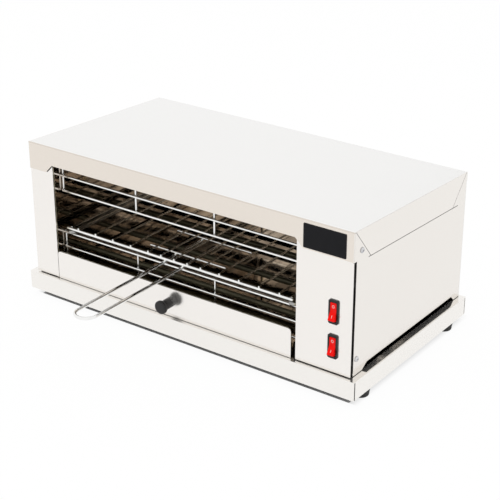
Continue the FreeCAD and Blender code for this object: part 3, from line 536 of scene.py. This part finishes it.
def foldedSheet(node, finish, bend, isFold=None):
    # the CAD sheet with its triangles merged into flat faces, folds rounded to the bend radius and
    # cut edges eased
    mesh = cadNodes[node].data.copy()
    shape = bmesh.new()
    shape.from_mesh(mesh)
    bmesh.ops.remove_doubles(shape, verts=shape.verts, dist=0.00001)
    bmesh.ops.dissolve_limit(shape, angle_limit=math.radians(0.5), verts=shape.verts, edges=shape.edges)
    weights = shape.edges.layers.float.new("bevel_weight_edge")
    for line in shape.edges:
        line.smooth = True
        if len(line.link_faces) == 2 and line.calc_face_angle(0) > math.radians(edgeEase["sharp"]):
            first, second = (Vector(corner.co) / mm for corner in line.verts)
            line[weights] = 1.0 if isFold and isFold(first, second) else edgeEase["reach"] / bend
    for side in shape.faces:
        side.smooth = True
    shape.to_mesh(mesh)
    shape.free()
    mesh.name = node + "_sheet"
    piece = setPiece(node + "_sheet", mesh, finish, [node])
    ease = piece.modifiers.new("ease", "BEVEL")
    ease.limit_method = "WEIGHT"
    ease.width = bend * mm
    ease.segments = edgeEase["steps"]
    ease.use_clamp_overlap = True
    ease.miter_outer = "MITER_ARC"
    even = piece.modifiers.new("even", "WEIGHTED_NORMAL")
    even.mode = "FACE_AREA"
    even.weight = 100


def coverFold(first, second):
    # the front fold and the two side folds of the outer face of the cover
    low = min(first.z, second.z)
    front = abs(first.y - shell["front"]) < 0.3 and abs(second.y - shell["front"]) < 0.3
    sides = abs(abs(first.x) - shell["half"]) < 0.3 and abs(abs(second.x) - shell["half"]) < 0.3
    lengthways = abs(first.y - second.y) > 100
    return (front and low > shell["top"] - 0.5) or (sides and low > 208 and lengthways)


sheets = {  # finish, and the radius of the rounded folds in mm
    "top_cover": ("coverSteel", 1.6),
    "side_panel_left": ("sideSteel", 0.25),
    "side_panel_right": ("sideSteel", 0.25),
    "front_post": ("frontSteel", 0.25),
    "control_panel": ("frontSteel", 0.25),
    "tray_front": ("frontSteel", 0.3),
    "base_pan": ("baseSteel", 0.3),
    "rear_panel": ("rearSteel", 0.25),
    "crumb_tray": ("trayLiner", 0.25),
    "inner_back": ("backLiner", 0.25),
    "inner_wall_left": ("wallLiner", 0.25),
    "inner_wall_right": ("wallLiner", 0.25),
    "upper_reflector": ("wallLiner", 0.25),
    "switch_housing_upper": ("blackPlastic", 0.5),
    "switch_housing_lower": ("blackPlastic", 0.5),
}
for node, (finish, bend) in sheets.items():
    foldedSheet(node, finish, bend, coverFold if node == "top_cover" else None)
print("sheets folded")


# wires
def wireSet(node, turns=14):
    # every straight wire of a CAD node as a tube with rounded ends
    grids = []
    for low, high in strands(node):
        ends, radius = strandAxis(low, high)
        share = np.linspace(0, 1, 9)[:, None]
        grids.append(tube(ends[0] + (ends[1] - ends[0]) * share, radius, turns))
    return grids


def splitWires(node):
    # the long wires that run across the front, and the other wires of a CAD node
    boxes = strands(node)
    longWires = [pair for pair in boxes if pair[1][0] - pair[0][0] > 100 * mm]
    return longWires, [pair for pair in boxes if pair[1][0] - pair[0][0] <= 100 * mm]


guard = {"bead": (1.89, 1.35, 1.89)}
for node in ("upper_guard", "lower_guard"):
    guardGrids = wireSet(node)
    longWires, uprights = splitWires(node)
    for lowLong, highLong in longWires:
        for lowUp, highUp in uprights:
            spot = ((lowUp[0] + highUp[0]) / 2, (highLong[1] + lowUp[1]) / 2, (lowLong[2] + highLong[2]) / 2)
            guardGrids.append(bead(spot, guard["bead"]))
    setGrids(node + "_wires", guardGrids, "chromedWire", [node])

rack = {"cornerBead": (2.3, 1.2, 1.9), "crossBead": (1.5, 1.7, 0.9), "crossRise": 0.2,
        "tieBead": (1.5, 1.5, 0.8)}
bars, sideBars = splitWires("rack_frame")
crossBoxes = strands("rack_wires")
tieBoxes = strands("rack_ties")
barGrids = wireSet("rack_frame", 20)
for lowBar, highBar in bars:
    for lowSide, highSide in sideBars:
        spot = ((lowSide[0] + highSide[0]) / 2, lowSide[1] if lowBar[1] < lowSide[1] else highSide[1],
                (lowBar[2] + highBar[2]) / 2)
        barGrids.append(bead(spot, rack["cornerBead"]))
setGrids("rack_bars", barGrids, "chromedWire", ["rack_frame"])
crossGrids = wireSet("rack_wires")
for low, high in crossBoxes:
    for lowBar, highBar in bars:
        spot = ((low[0] + high[0]) / 2, (lowBar[1] + highBar[1]) / 2, highBar[2] + rack["crossRise"] * mm)
        crossGrids.append(bead(spot, rack["crossBead"]))
setGrids("rack_cross_wires", crossGrids, "satinWire", ["rack_wires"])
tieGrids = wireSet("rack_ties")
for lowTie, highTie in tieBoxes:
    for low, high in crossBoxes:
        middle = (low[0] + high[0]) / 2
        if lowTie[0] < middle < highTie[0]:
            tieGrids.append(bead((middle, (lowTie[1] + highTie[1]) / 2, highTie[2]), rack["tieBead"]))
setGrids("rack_tie_wires", tieGrids, "chromedWire", ["rack_ties"])

# the U handle, in mm: each leg runs from inner to step, drops until stepEnd, and goes on to the tip
handle = {"radius": 2.0, "step": -25.0, "stepEnd": -38.5, "bend": 4.0, "barBead": (2.2, 2.2, 0.9),
          "tieBead": (2.0, 1.6, 0.9)}
low, high = (np.array(corner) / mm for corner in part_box("rack_handle"))
middle = (low[0] + high[0]) / 2
half = (high[0] - low[0]) / 2 - handle["radius"]
tip, lowZ, highZ = low[1] + handle["radius"], low[2] + handle["radius"], high[2] - handle["radius"]
legSpots = [(high[1], highZ), (handle["step"], highZ), (handle["stepEnd"], lowZ), (tip + half, lowZ)]
leg = roundedProfile(legSpots, handle["bend"], 6)
between = np.linspace(0, 1, 12)[1:, None]
leg = np.concatenate([leg[:-1], leg[-2] + (leg[-1] - leg[-2]) * between])
tipAngle = np.linspace(0, math.pi, 25)[1:-1]
tipArc = np.stack([middle - half * np.cos(tipAngle), tip + half - half * np.sin(tipAngle),
                   np.full(len(tipAngle), lowZ)], -1)
leftLeg = np.stack([np.full(len(leg), middle - half), leg[:, 0], leg[:, 1]], -1)
rightLeg = leftLeg[::-1] + [2 * half, 0, 0]
handleGrids = [tube(np.concatenate([leftLeg, tipArc, rightLeg]) * mm, handle["radius"] * mm, 18)]
lowBar, highBar = bars[0]
for legX in ((middle - half) * mm, (middle + half) * mm):
    handleGrids.append(bead((legX, (lowBar[1] + highBar[1]) / 2, lowBar[2]), handle["barBead"]))
    for lowTie, highTie in tieBoxes:
        handleGrids.append(bead((legX, (lowTie[1] + highTie[1]) / 2, lowTie[2]), handle["tieBead"]))
setGrids("rack_handle_wire", handleGrids, "chromedWire", ["rack_handle"])

support = {"arcSpots": 17, "legSpots": 12}
for side in ("left", "right"):
    node = "rack_support_" + side
    low, high = (np.array(corner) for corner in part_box(node))
    radius = (high[2] - low[2]) / 2
    level = (high[2] + low[2]) / 2
    half = (high[0] - low[0]) / 2 - radius
    middle = (high[0] + low[0]) / 2
    turn = np.linspace(0, math.pi, support["arcSpots"])
    arc = np.stack([middle - half * np.cos(turn), low[1] + radius + half - half * np.sin(turn),
                    np.full(len(turn), level)], -1)
    run = np.linspace(high[1], arc[0, 1], support["legSpots"])[:-1]
    legs = [np.stack([np.full(len(run), middle + way * half), run, np.full(len(run), level)], -1)
            for way in (-1, 1)]
    hairpin = tube(np.concatenate([legs[0], arc, legs[1][::-1]]), radius, 14)
    setGrids(node + "_wire", [hairpin], "dullWire", [node])

for row in ("lower", "upper"):
    for place in ("front", "middle", "rear"):
        node = "element_%s_%s" % (row, place)
        setGrids(node + "_rod", wireSet(node, 24), "heatingSheath", [node])
print("wires drawn")


# insulators, terminals, screws
insulator = {"bore": 4.05, "chamfer": 0.6, "groove": 1.0, "grooves": [(2.2, 4), (6, 7.8)], "lip": 0.8,
             "flank": 0.4, "ease": 0.35}
insulatorGrids = []
for low, high in strands("element_insulators"):
    length = (high[0] - low[0]) / mm
    outer = (high[2] - low[2]) / 2 / mm
    line = [(insulator["bore"], 0), (outer - insulator["chamfer"], 0), (outer, insulator["lip"])]
    inner = outer - insulator["groove"]
    for start, end in insulator["grooves"]:
        line += [(outer, start), (inner, start + insulator["flank"]), (inner, end - insulator["flank"]),
                 (outer, end)]
    line += [(outer, length - insulator["lip"]), (outer - insulator["chamfer"], length),
             (insulator["bore"], length)]
    spot = (low[0], (low[1] + high[1]) / 2, (low[2] + high[2]) / 2)
    line = np.array(roundedProfile(line, insulator["ease"], 2)) * mm
    insulatorGrids.append(turnedPiece(line, spot, "x", 1, 32))
setGrids("rod_insulators", insulatorGrids, "insulatorCeramic", ["element_insulators"])

terminal = {"core": 1.35, "crest": 1.6, "start": 0.3, "pitch": 0.72, "rise": 0.32, "rings": 9, "length": 7.0}
thread = [(0.01, 0)]
for ring in range(terminal["rings"]):
    start = terminal["start"] + ring * terminal["pitch"]
    thread += [(terminal["core"], start), (terminal["crest"], start + terminal["rise"])]
thread += [(terminal["core"], terminal["length"] - 0.1), (0.01, terminal["length"])]
terminalGrids = []
for low, high in strands("element_terminals"):
    spot = (low[0], (low[1] + high[1]) / 2, (low[2] + high[2]) / 2)
    terminalGrids.append(turnedPiece(np.array(thread) * mm, spot, "x", 1, 16))
setGrids("rod_terminals", terminalGrids, "brassTerminal", ["element_terminals"])

driver = {"reach": 0.62, "width": 0.9, "depth": 0.75}  # share of the head, mm, share of the dome


def crossRecess(reach, width, depth):
    # pushes a driver cross into a head: the depth fades at the arms' ends and at their flanks
    def flute(angle, radius, height):
        x = radius * np.cos(angle)
        y = radius * np.sin(angle)
        near = np.minimum(abs(x), abs(y))
        far = np.maximum(abs(x), abs(y))
        flank = np.clip((width / 2 - near) / (0.15 * mm) + 0.5, 0, 1)
        arm = flank * np.clip((reach - far) / (0.5 * mm), 0, 1)
        return radius, height - arm * depth * (height > 0.3 * mm)
    return flute


def panHead(centre, axis, flip, screw, length):
    # low dome on a short rim, height = rise * root(1 - (r / outer)^2 * 0.85), with a plain shank below it
    outer, rise, shank = screw["outer"] * mm, screw["rise"] * mm, screw["shank"] * mm
    r = np.linspace(outer, 0.02 * mm, 26)
    dome = np.stack([r, rise * np.sqrt(1 - 0.85 * (r / outer) ** 2)], -1)
    below = np.array([(0.02 * mm, -length), (shank * 0.8, -length), (shank, -length + 0.4 * mm),
                      (shank, 0.0), (outer * 0.93, 0.0), (outer, 0.12 * mm)])
    recess = crossRecess(driver["reach"] * outer, driver["width"] * mm, driver["depth"] * rise)
    return turnedPiece(np.concatenate([below, dome]), centre, axis, flip, 48, recess)


sideScrew = {"outer": 3.6, "rise": 2.2, "shank": 2.0}
sideGrids = []
for low, high in strands("side_screws"):
    way = 1 if low[0] > 0 else -1
    face = way * shell["half"] * mm
    spot = (face, (low[1] + high[1]) / 2, (low[2] + high[2]) / 2)
    length = (face - low[0]) if way > 0 else (high[0] - face)
    sideGrids.append(panHead(spot, "x", way, sideScrew, length))
setGrids("side_screws_domed", sideGrids, "brightFastener", ["side_screws"])
rearScrew = {"outer": 3.0, "rise": 2.0, "shank": 1.5}
rearGrids = []
for low, high in strands("rear_screws"):
    face = high[1] - rearScrew["rise"] * mm
    spot = ((low[0] + high[0]) / 2, face, (low[2] + high[2]) / 2)
    rearGrids.append(panHead(spot, "y", 1, rearScrew, face - low[1]))
setGrids("rear_screws_domed", rearGrids, "brightFastener", ["rear_screws"])
print("small fittings made")


# feet
foot = {"ease": 0.5, "profile": [
    (2.05, 10.0), (11.6, 10.0), (11.9, 9.4), (11.2, 4.4), (10.7, 3.9), (11.1, 3.4), (10.7, 0.7), (10.0, 0.0),
    (5.6, 0.0), (5.0, 0.9), (5.0, 5.0), (2.05, 5.0)]}
for place in ("front_left", "front_right", "rear_left", "rear_right"):
    node = "foot_" + place
    low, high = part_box(node)
    centre = ((low.x + high.x) / 2, (low.y + high.y) / 2, 0.0)
    footGrid = turnedPiece(roundedProfile(foot["profile"], foot["ease"], 3) * mm, centre, "z", 1, 56)
    setGrids(node + "_rubber", [footGrid], "footRubber", [node])

# tray knob: a thick stem under a broad cap
knob = {"ease": 0.7, "profile": [
    (0.02, 0.0), (6.6, 0.0), (6.7, 4.0), (6.4, 8.0), (5.6, 11.4), (7.2, 12.2), (8.7, 13.0), (9.0, 13.8),
    (9.0, 16.6), (8.2, 17.5), (6.5, 17.8), (0.02, 17.8)]}
low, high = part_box("tray_knob")
knobSpot = ((low.x + high.x) / 2, high.y, (low.z + high.z) / 2)
knobGrid = turnedPiece(roundedProfile(knob["profile"], knob["ease"], 4) * mm, knobSpot, "y", -1, 72)
setGrids("tray_knob_turned", [knobGrid], "blackPlastic", ["tray_knob"])

# rockers, in mm: tilt is the resting lean, valley and slope give the two touch faces
rocker = {"tilt": math.radians(-15), "half": 4.2, "edge": 0.55, "dish": 0.4, "valley": -2.7,
          "slope": math.tan(math.radians(15)), "ease": 0.8, "pinHalf": 5.9, "pinRadius": 1.1}
rockerMark = {"wire": 0.3, "out": 0.2, "ringAt": 6.2, "ringRadius": 1.5, "barAt": -6.0, "barHalf": 1.7}
rockerTip = rocker["valley"] - 11 * rocker["slope"]
rockerLine = np.array([(4.5, 0.0), (4.5, 3.5), (2.0, 9.3), (0.8, 11.6), (-1.5, 11.7), (rockerTip, 11),
                       (rocker["valley"], 0.0), (rockerTip, -11), (-1.5, -11.7), (0.8, -11.6), (2.0, -9.3),
                       (4.5, -3.5), (4.5, 0.0)])
pivots = {joint["child"]: np.array(joint["pos_m"]) for joint in frame["record"]["behaviour"]["joints"]
          if joint["type"] == "hinge"}


def tilted(points, pivot):
    # turns rocker points about the X axis by the resting tilt and sets them at the pivot
    turn, lean = math.cos(rocker["tilt"]), math.sin(rocker["tilt"])
    y = points[:, 1] * turn - points[:, 2] * lean
    z = points[:, 1] * lean + points[:, 2] * turn
    return np.stack([points[:, 0], y, z], -1) * mm + pivot


def rockerSkin():
    # the closed side line (y, z) carried across x; near the two flanks it moves inwards along its
    # normals by e - root(e^2 - s^2), which rounds the edges, and the touch faces sink by the dish
    line = roundedProfile(rockerLine, rocker["ease"], 4)
    reach = np.concatenate([[0], np.cumsum(np.linalg.norm(np.diff(line, axis=0), axis=1))])
    even = np.unique(np.concatenate([reach, np.linspace(0, reach[-1], 90)]))
    line = np.stack([np.interp(even, reach, line[:, k]) for k in range(2)], -1)[:-1]
    ahead = np.roll(line, -1, 0) - np.roll(line, 1, 0)
    ahead /= np.linalg.norm(ahead, axis=1)[:, None]
    inward = np.stack([-ahead[:, 1], ahead[:, 0]], -1)
    half, edge = rocker["half"], rocker["edge"]
    across = np.concatenate([-half + edge * (1 - np.cos(np.linspace(0, math.pi / 2, 5))),
                             np.linspace(-half + edge, half - edge, 9)[1:-1],
                             half - edge * (1 - np.cos(np.linspace(math.pi / 2, 0, 5)))])
    past = np.clip(abs(across) - (half - edge), 0, edge)
    inset = edge - np.sqrt(np.clip(edge ** 2 - past ** 2, 0, None))
    yz = line[None] + inward[None] * inset[:, None, None]
    front = np.clip((-2.0 - line[:, 0]) / 0.6, 0, 1) * np.clip((10.7 - abs(line[:, 1])) / 2, 0, 1)
    hollow = rocker["dish"] * np.cos(np.clip(across / half, -1, 1) * math.pi / 2) ** 2
    yz[:, :, 0] += hollow[:, None] * front[None]
    x = np.broadcast_to(across[:, None, None], (*yz.shape[:2], 1))
    return skin(np.concatenate([x, yz], -1))


def touchFace(z):
    # how far forward the dished touch face stands at a height
    return rocker["valley"] - abs(z) * rocker["slope"] + rocker["dish"] * 0.9


def ringMark():
    # flat torus for the off mark: a small circle carried round a larger one that lies on the face
    a = np.linspace(0, 2 * math.pi, 28, endpoint=False)[:, None]
    b = np.linspace(0, 2 * math.pi, 8, endpoint=False)[None, :]
    r = rockerMark["ringRadius"] + rockerMark["wire"] * np.cos(b)
    z = rockerMark["ringAt"] + r * np.sin(a)
    spots = np.stack([r * np.cos(a), touchFace(z) - rockerMark["out"] * np.sin(b), z], -1).reshape(-1, 3)
    i, j = np.meshgrid(np.arange(28), np.arange(8), indexing="ij")
    here, right = i * 8 + j, i * 8 + (j + 1) % 8
    up, both = (i + 1) % 28 * 8 + j, (i + 1) % 28 * 8 + (j + 1) % 8
    return spots, np.stack([here, right, both, up], -1).reshape(-1, 4)


def barMark():
    # the on mark, a short wire that lies on the face
    height, half = rockerMark["barAt"], rockerMark["barHalf"]
    z = np.linspace(height - half, height + half, 7)
    return tube(np.stack([0 * z, touchFace(z), z], -1), rockerMark["wire"], 8, 3)


for body, pivot in pivots.items():
    node = "switch_" + body
    pinPath = np.array([[-rocker["pinHalf"], 0, 0], [0, 0, 0], [rocker["pinHalf"], 0, 0]])
    parts = [rockerSkin(), tube(pinPath, rocker["pinRadius"], 12, 3)]
    setGrids(node + "_cap", [(tilted(spots, pivot), sides) for spots, sides in parts], "redRocker", [node])
    marks = [(tilted(spots, pivot), sides) for spots, sides in (ringMark(), barMark())]
    setGrids(node + "_marks", marks, "whiteMark", [], body)
print("feet, knob and rockers made")

# blank plate
plate = {"corner": 1.2, "ease": 0.2}
low, high = (np.array(corner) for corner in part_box("name_plate"))
middle = (low + high) / 2
halfX, halfZ = (high - low)[0] / 2, (high - low)[2] / 2
corner, ease = plate["corner"] * mm, plate["ease"] * mm
turn = np.linspace(0, 2 * math.pi, 64, endpoint=False) + math.pi / 64
signX, signZ = np.sign(np.cos(turn)), np.sign(np.sin(turn))
rings = []
# rings of a rounded rectangle from the back edge over the eased front edge to the middle
for inset, y in ((0, high[1]), (0, low[1] + ease), (ease * 0.3, low[1] + ease * 0.3), (ease, low[1]),
                 (halfZ * 0.5, low[1]), (halfZ * 0.9, low[1])):
    bend = max(corner - inset, 0.02 * mm)
    x = signX * (halfX - inset - bend) + bend * np.cos(turn)
    z = signZ * (halfZ - inset - bend) + bend * np.sin(turn)
    rings.append(np.stack([middle[0] + x, np.full(64, y), middle[2] + z], -1))
setGrids("header_plate", [skin(np.array(rings))], "blackPlate", ["name_plate"], smooth=False)
print("plate made")

# cable gland
gland = {"flange": 5.5, "ease": 0.4, "ribs": 18, "ribDepth": 0.03, "profile": [
    (1.85, -5.5), (6.6, -5.5), (7.0, -5.1), (7.0, 0.0), (9.6, 0.0), (10.0, 0.4), (10.0, 3.6), (9.4, 4.2),
    (9.0, 5.0), (8.6, 9.8), (8.0, 11.0), (6.6, 12.9), (1.85, 13.0)]}


def hexCollar(angle, radius, height):
    # the collar between 0 and 4 mm is a hexagon: radius * cos(30) / cos of the angle to the flat
    flat = np.cos(math.pi / 6) / np.cos((angle + math.pi / 6) % (math.pi / 3) - math.pi / 6)
    ribs = 1 - gland["ribDepth"] * (np.cos(angle * gland["ribs"]) > 0)
    collar = (height >= -0.01 * mm) & (height < 4.3 * mm) & (radius > 9 * mm)
    cap = (height > 4.9 * mm) & (height < 10 * mm) & (radius > 8 * mm)
    return radius * np.where(collar, np.maximum(flat, 0.88), 1) * np.where(cap, ribs, 1), height


low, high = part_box("cable_gland")
glandSpot = ((low.x + high.x) / 2, low.y + gland["flange"] * mm, (low.z + high.z) / 2)
glandLine = roundedProfile(gland["profile"], gland["ease"], 3) * mm
glandGrid = turnedPiece(glandLine, glandSpot, "y", 1, 72, hexCollar)
setGrids("cable_gland_turned", [glandGrid], "blackPlastic", ["cable_gland"])

# CAD pieces that keep their shape
stays = {"foot_screws": "brightFastener", "foot_nuts": "brightFastener", "stud_nuts": "brightFastener"}
for name, item in cadNodes.items():
    if item.hide_render:
        continue
    slotName = item.data.materials[0].name.split(".")[0] if item.data.materials else ""
    finish = stays.get(name) or slotFinish.get(slotName, "shadeDarkSteel")
    if not item.data.materials:
        item.data.materials.append(finishes[finish])
    for index in range(len(item.data.materials)):
        item.data.materials[index] = finishes[finish]

# floor: its glow keeps it white and stops under the base, where the floor stays in real shade
floorSettings = {"half": 8.0, "glow": 0.96, "shadeHalf": 247, "shadeEnd": 259, "shadeEdge": 0.35,
                 "shadeMiddle": 87.5, "shadeReach": 140.5}
reach = floorSettings["half"]
floorMesh = bpy.data.meshes.new("floor")
floorMesh.from_pydata([(-reach, -reach, 0), (reach, -reach, 0), (reach, reach, 0), (-reach, reach, 0)], [],
                      [(0, 1, 2, 3)])
floor = bpy.data.objects.new("floor", floorMesh)
bpy.context.scene.collection.objects.link(floor)
floorFinish = Finish("paleFloor", Roughness=0.8, Specular_IOR_Level=0.1)
speck = floorFinish.noise(floorFinish.spot(), 40.0, 2.0)
floorFinish.feed({"Base Color": floorFinish.blend(speck, (0.93, 0.93, 0.925), (0.95, 0.95, 0.945))})
seen = floorFinish.add("ShaderNodeLightPath", {}, {}, "Is Camera Ray")
mirrored = floorFinish.add("ShaderNodeLightPath", {}, {}, "Is Glossy Ray")
across = abs(floorFinish.axis("X"))
ramp = floorFinish.spread(across, floorSettings["shadeHalf"] * mm, floorSettings["shadeEnd"] * mm,
                          floorSettings["shadeEdge"], 0.0)
depthwise = abs(floorFinish.axis("Y") - floorSettings["shadeMiddle"] * mm)
beneath = (across < floorSettings["shadeHalf"] * mm) | ramp
beneath = beneath * (depthwise < floorSettings["shadeReach"] * mm)
glow = floorFinish.tree.nodes.new("ShaderNodeEmission")
glow.inputs["Color"].default_value = (1, 1, 1, 1)
glow.inputs["Strength"].default_value = 1.0
mixer = floorFinish.tree.nodes.new("ShaderNodeMixShader")
floorFinish.plug(mixer, {0: (seen + mirrored) * (1 - beneath) * floorSettings["glow"]})
floorFinish.tree.links.new(floorFinish.shader.outputs[0], mixer.inputs[1])
floorFinish.tree.links.new(glow.outputs[0], mixer.inputs[2])
output = [node for node in floorFinish.tree.nodes if node.type == "OUTPUT_MATERIAL"][0]
floorFinish.tree.links.new(mixer.outputs[0], output.inputs["Surface"])
floorMesh.materials.append(floorFinish.material)

# world: white to the camera and to mirrors, a little weaker as light
room = {"light": 0.8, "white": 1.0}
world = bpy.data.worlds.new("studio")
bpy.context.scene.world = world
world.use_nodes = True
worldTree = world.node_tree
worldTree.nodes.clear()
sky = worldTree.nodes.new("ShaderNodeBackground")
lightPath = worldTree.nodes.new("ShaderNodeLightPath")
share = worldTree.nodes.new("ShaderNodeMath")
share.operation = "MAXIMUM"
level = worldTree.nodes.new("ShaderNodeMapRange")
level.inputs["To Min"].default_value = room["light"]
level.inputs["To Max"].default_value = room["white"]
worldOut = worldTree.nodes.new("ShaderNodeOutputWorld")
worldTree.links.new(lightPath.outputs["Is Camera Ray"], share.inputs[0])
worldTree.links.new(lightPath.outputs["Is Glossy Ray"], share.inputs[1])
worldTree.links.new(share.outputs[0], level.inputs["Value"])
worldTree.links.new(level.outputs[0], sky.inputs["Strength"])
sky.inputs["Color"].default_value = (1, 1, 1, 1)
worldTree.links.new(sky.outputs[0], worldOut.inputs["Surface"])

# a dark card high behind the toaster that only mirrors see; it darkens the handle wires
card = {"left": -0.4, "right": 0.9, "low": 0.95, "high": 2.4, "behind": 1.6}
cardMesh = bpy.data.meshes.new("rearCard")
cardCorners = [(card["left"], card["low"]), (card["right"], card["low"]), (card["right"], card["high"]),
               (card["left"], card["high"])]
cardMesh.from_pydata([(x, card["behind"], z) for x, z in cardCorners], [], [(0, 1, 2, 3)])
rearCard = bpy.data.objects.new("rearCard", cardMesh)
bpy.context.scene.collection.objects.link(rearCard)
cardMesh.materials.append(finishes["darkCloth"])
rearCard.visible_camera = False
rearCard.visible_diffuse = False
rearCard.visible_shadow = False
rearCard.visible_transmission = False

# two soft lamps that mirrors don't see
lamps = {"size": 2.6, "aim": (0, 0, 0.1), "spots": {
    "keyLamp": ((-0.6, -0.4, 3.4), 30),
    "fillLamp": ((1.3, -0.7, 3.1), 14),
}}
for name, (spot, power) in lamps["spots"].items():
    lamp = bpy.data.lights.new(name, "AREA")
    lamp.shape = "SQUARE"
    lamp.size = lamps["size"]
    lamp.energy = power
    holder = bpy.data.objects.new(name, lamp)
    holder.location = spot
    holder.rotation_euler = (Vector(lamps["aim"]) - Vector(spot)).to_track_quat("-Z", "Y").to_euler()
    holder.visible_glossy = False
    bpy.context.scene.collection.objects.link(holder)

view = {"lens": 98.896, "sensor": 36.0, "spot": (0.9705, -1.2509, 0.8448), "down": 24.85, "turn": 35.91}
lens = bpy.data.cameras.new("view")
lens.lens = view["lens"]
lens.sensor_width = view["sensor"]
camera = bpy.data.objects.new("view", lens)
camera.location = view["spot"]
camera.rotation_euler = (math.radians(90 - view["down"]), 0, math.radians(view["turn"]))
bpy.context.scene.collection.objects.link(camera)
bpy.context.scene.camera = camera
bpy.context.scene.view_settings.view_transform = "Standard"
print("stage, lamps and camera set")
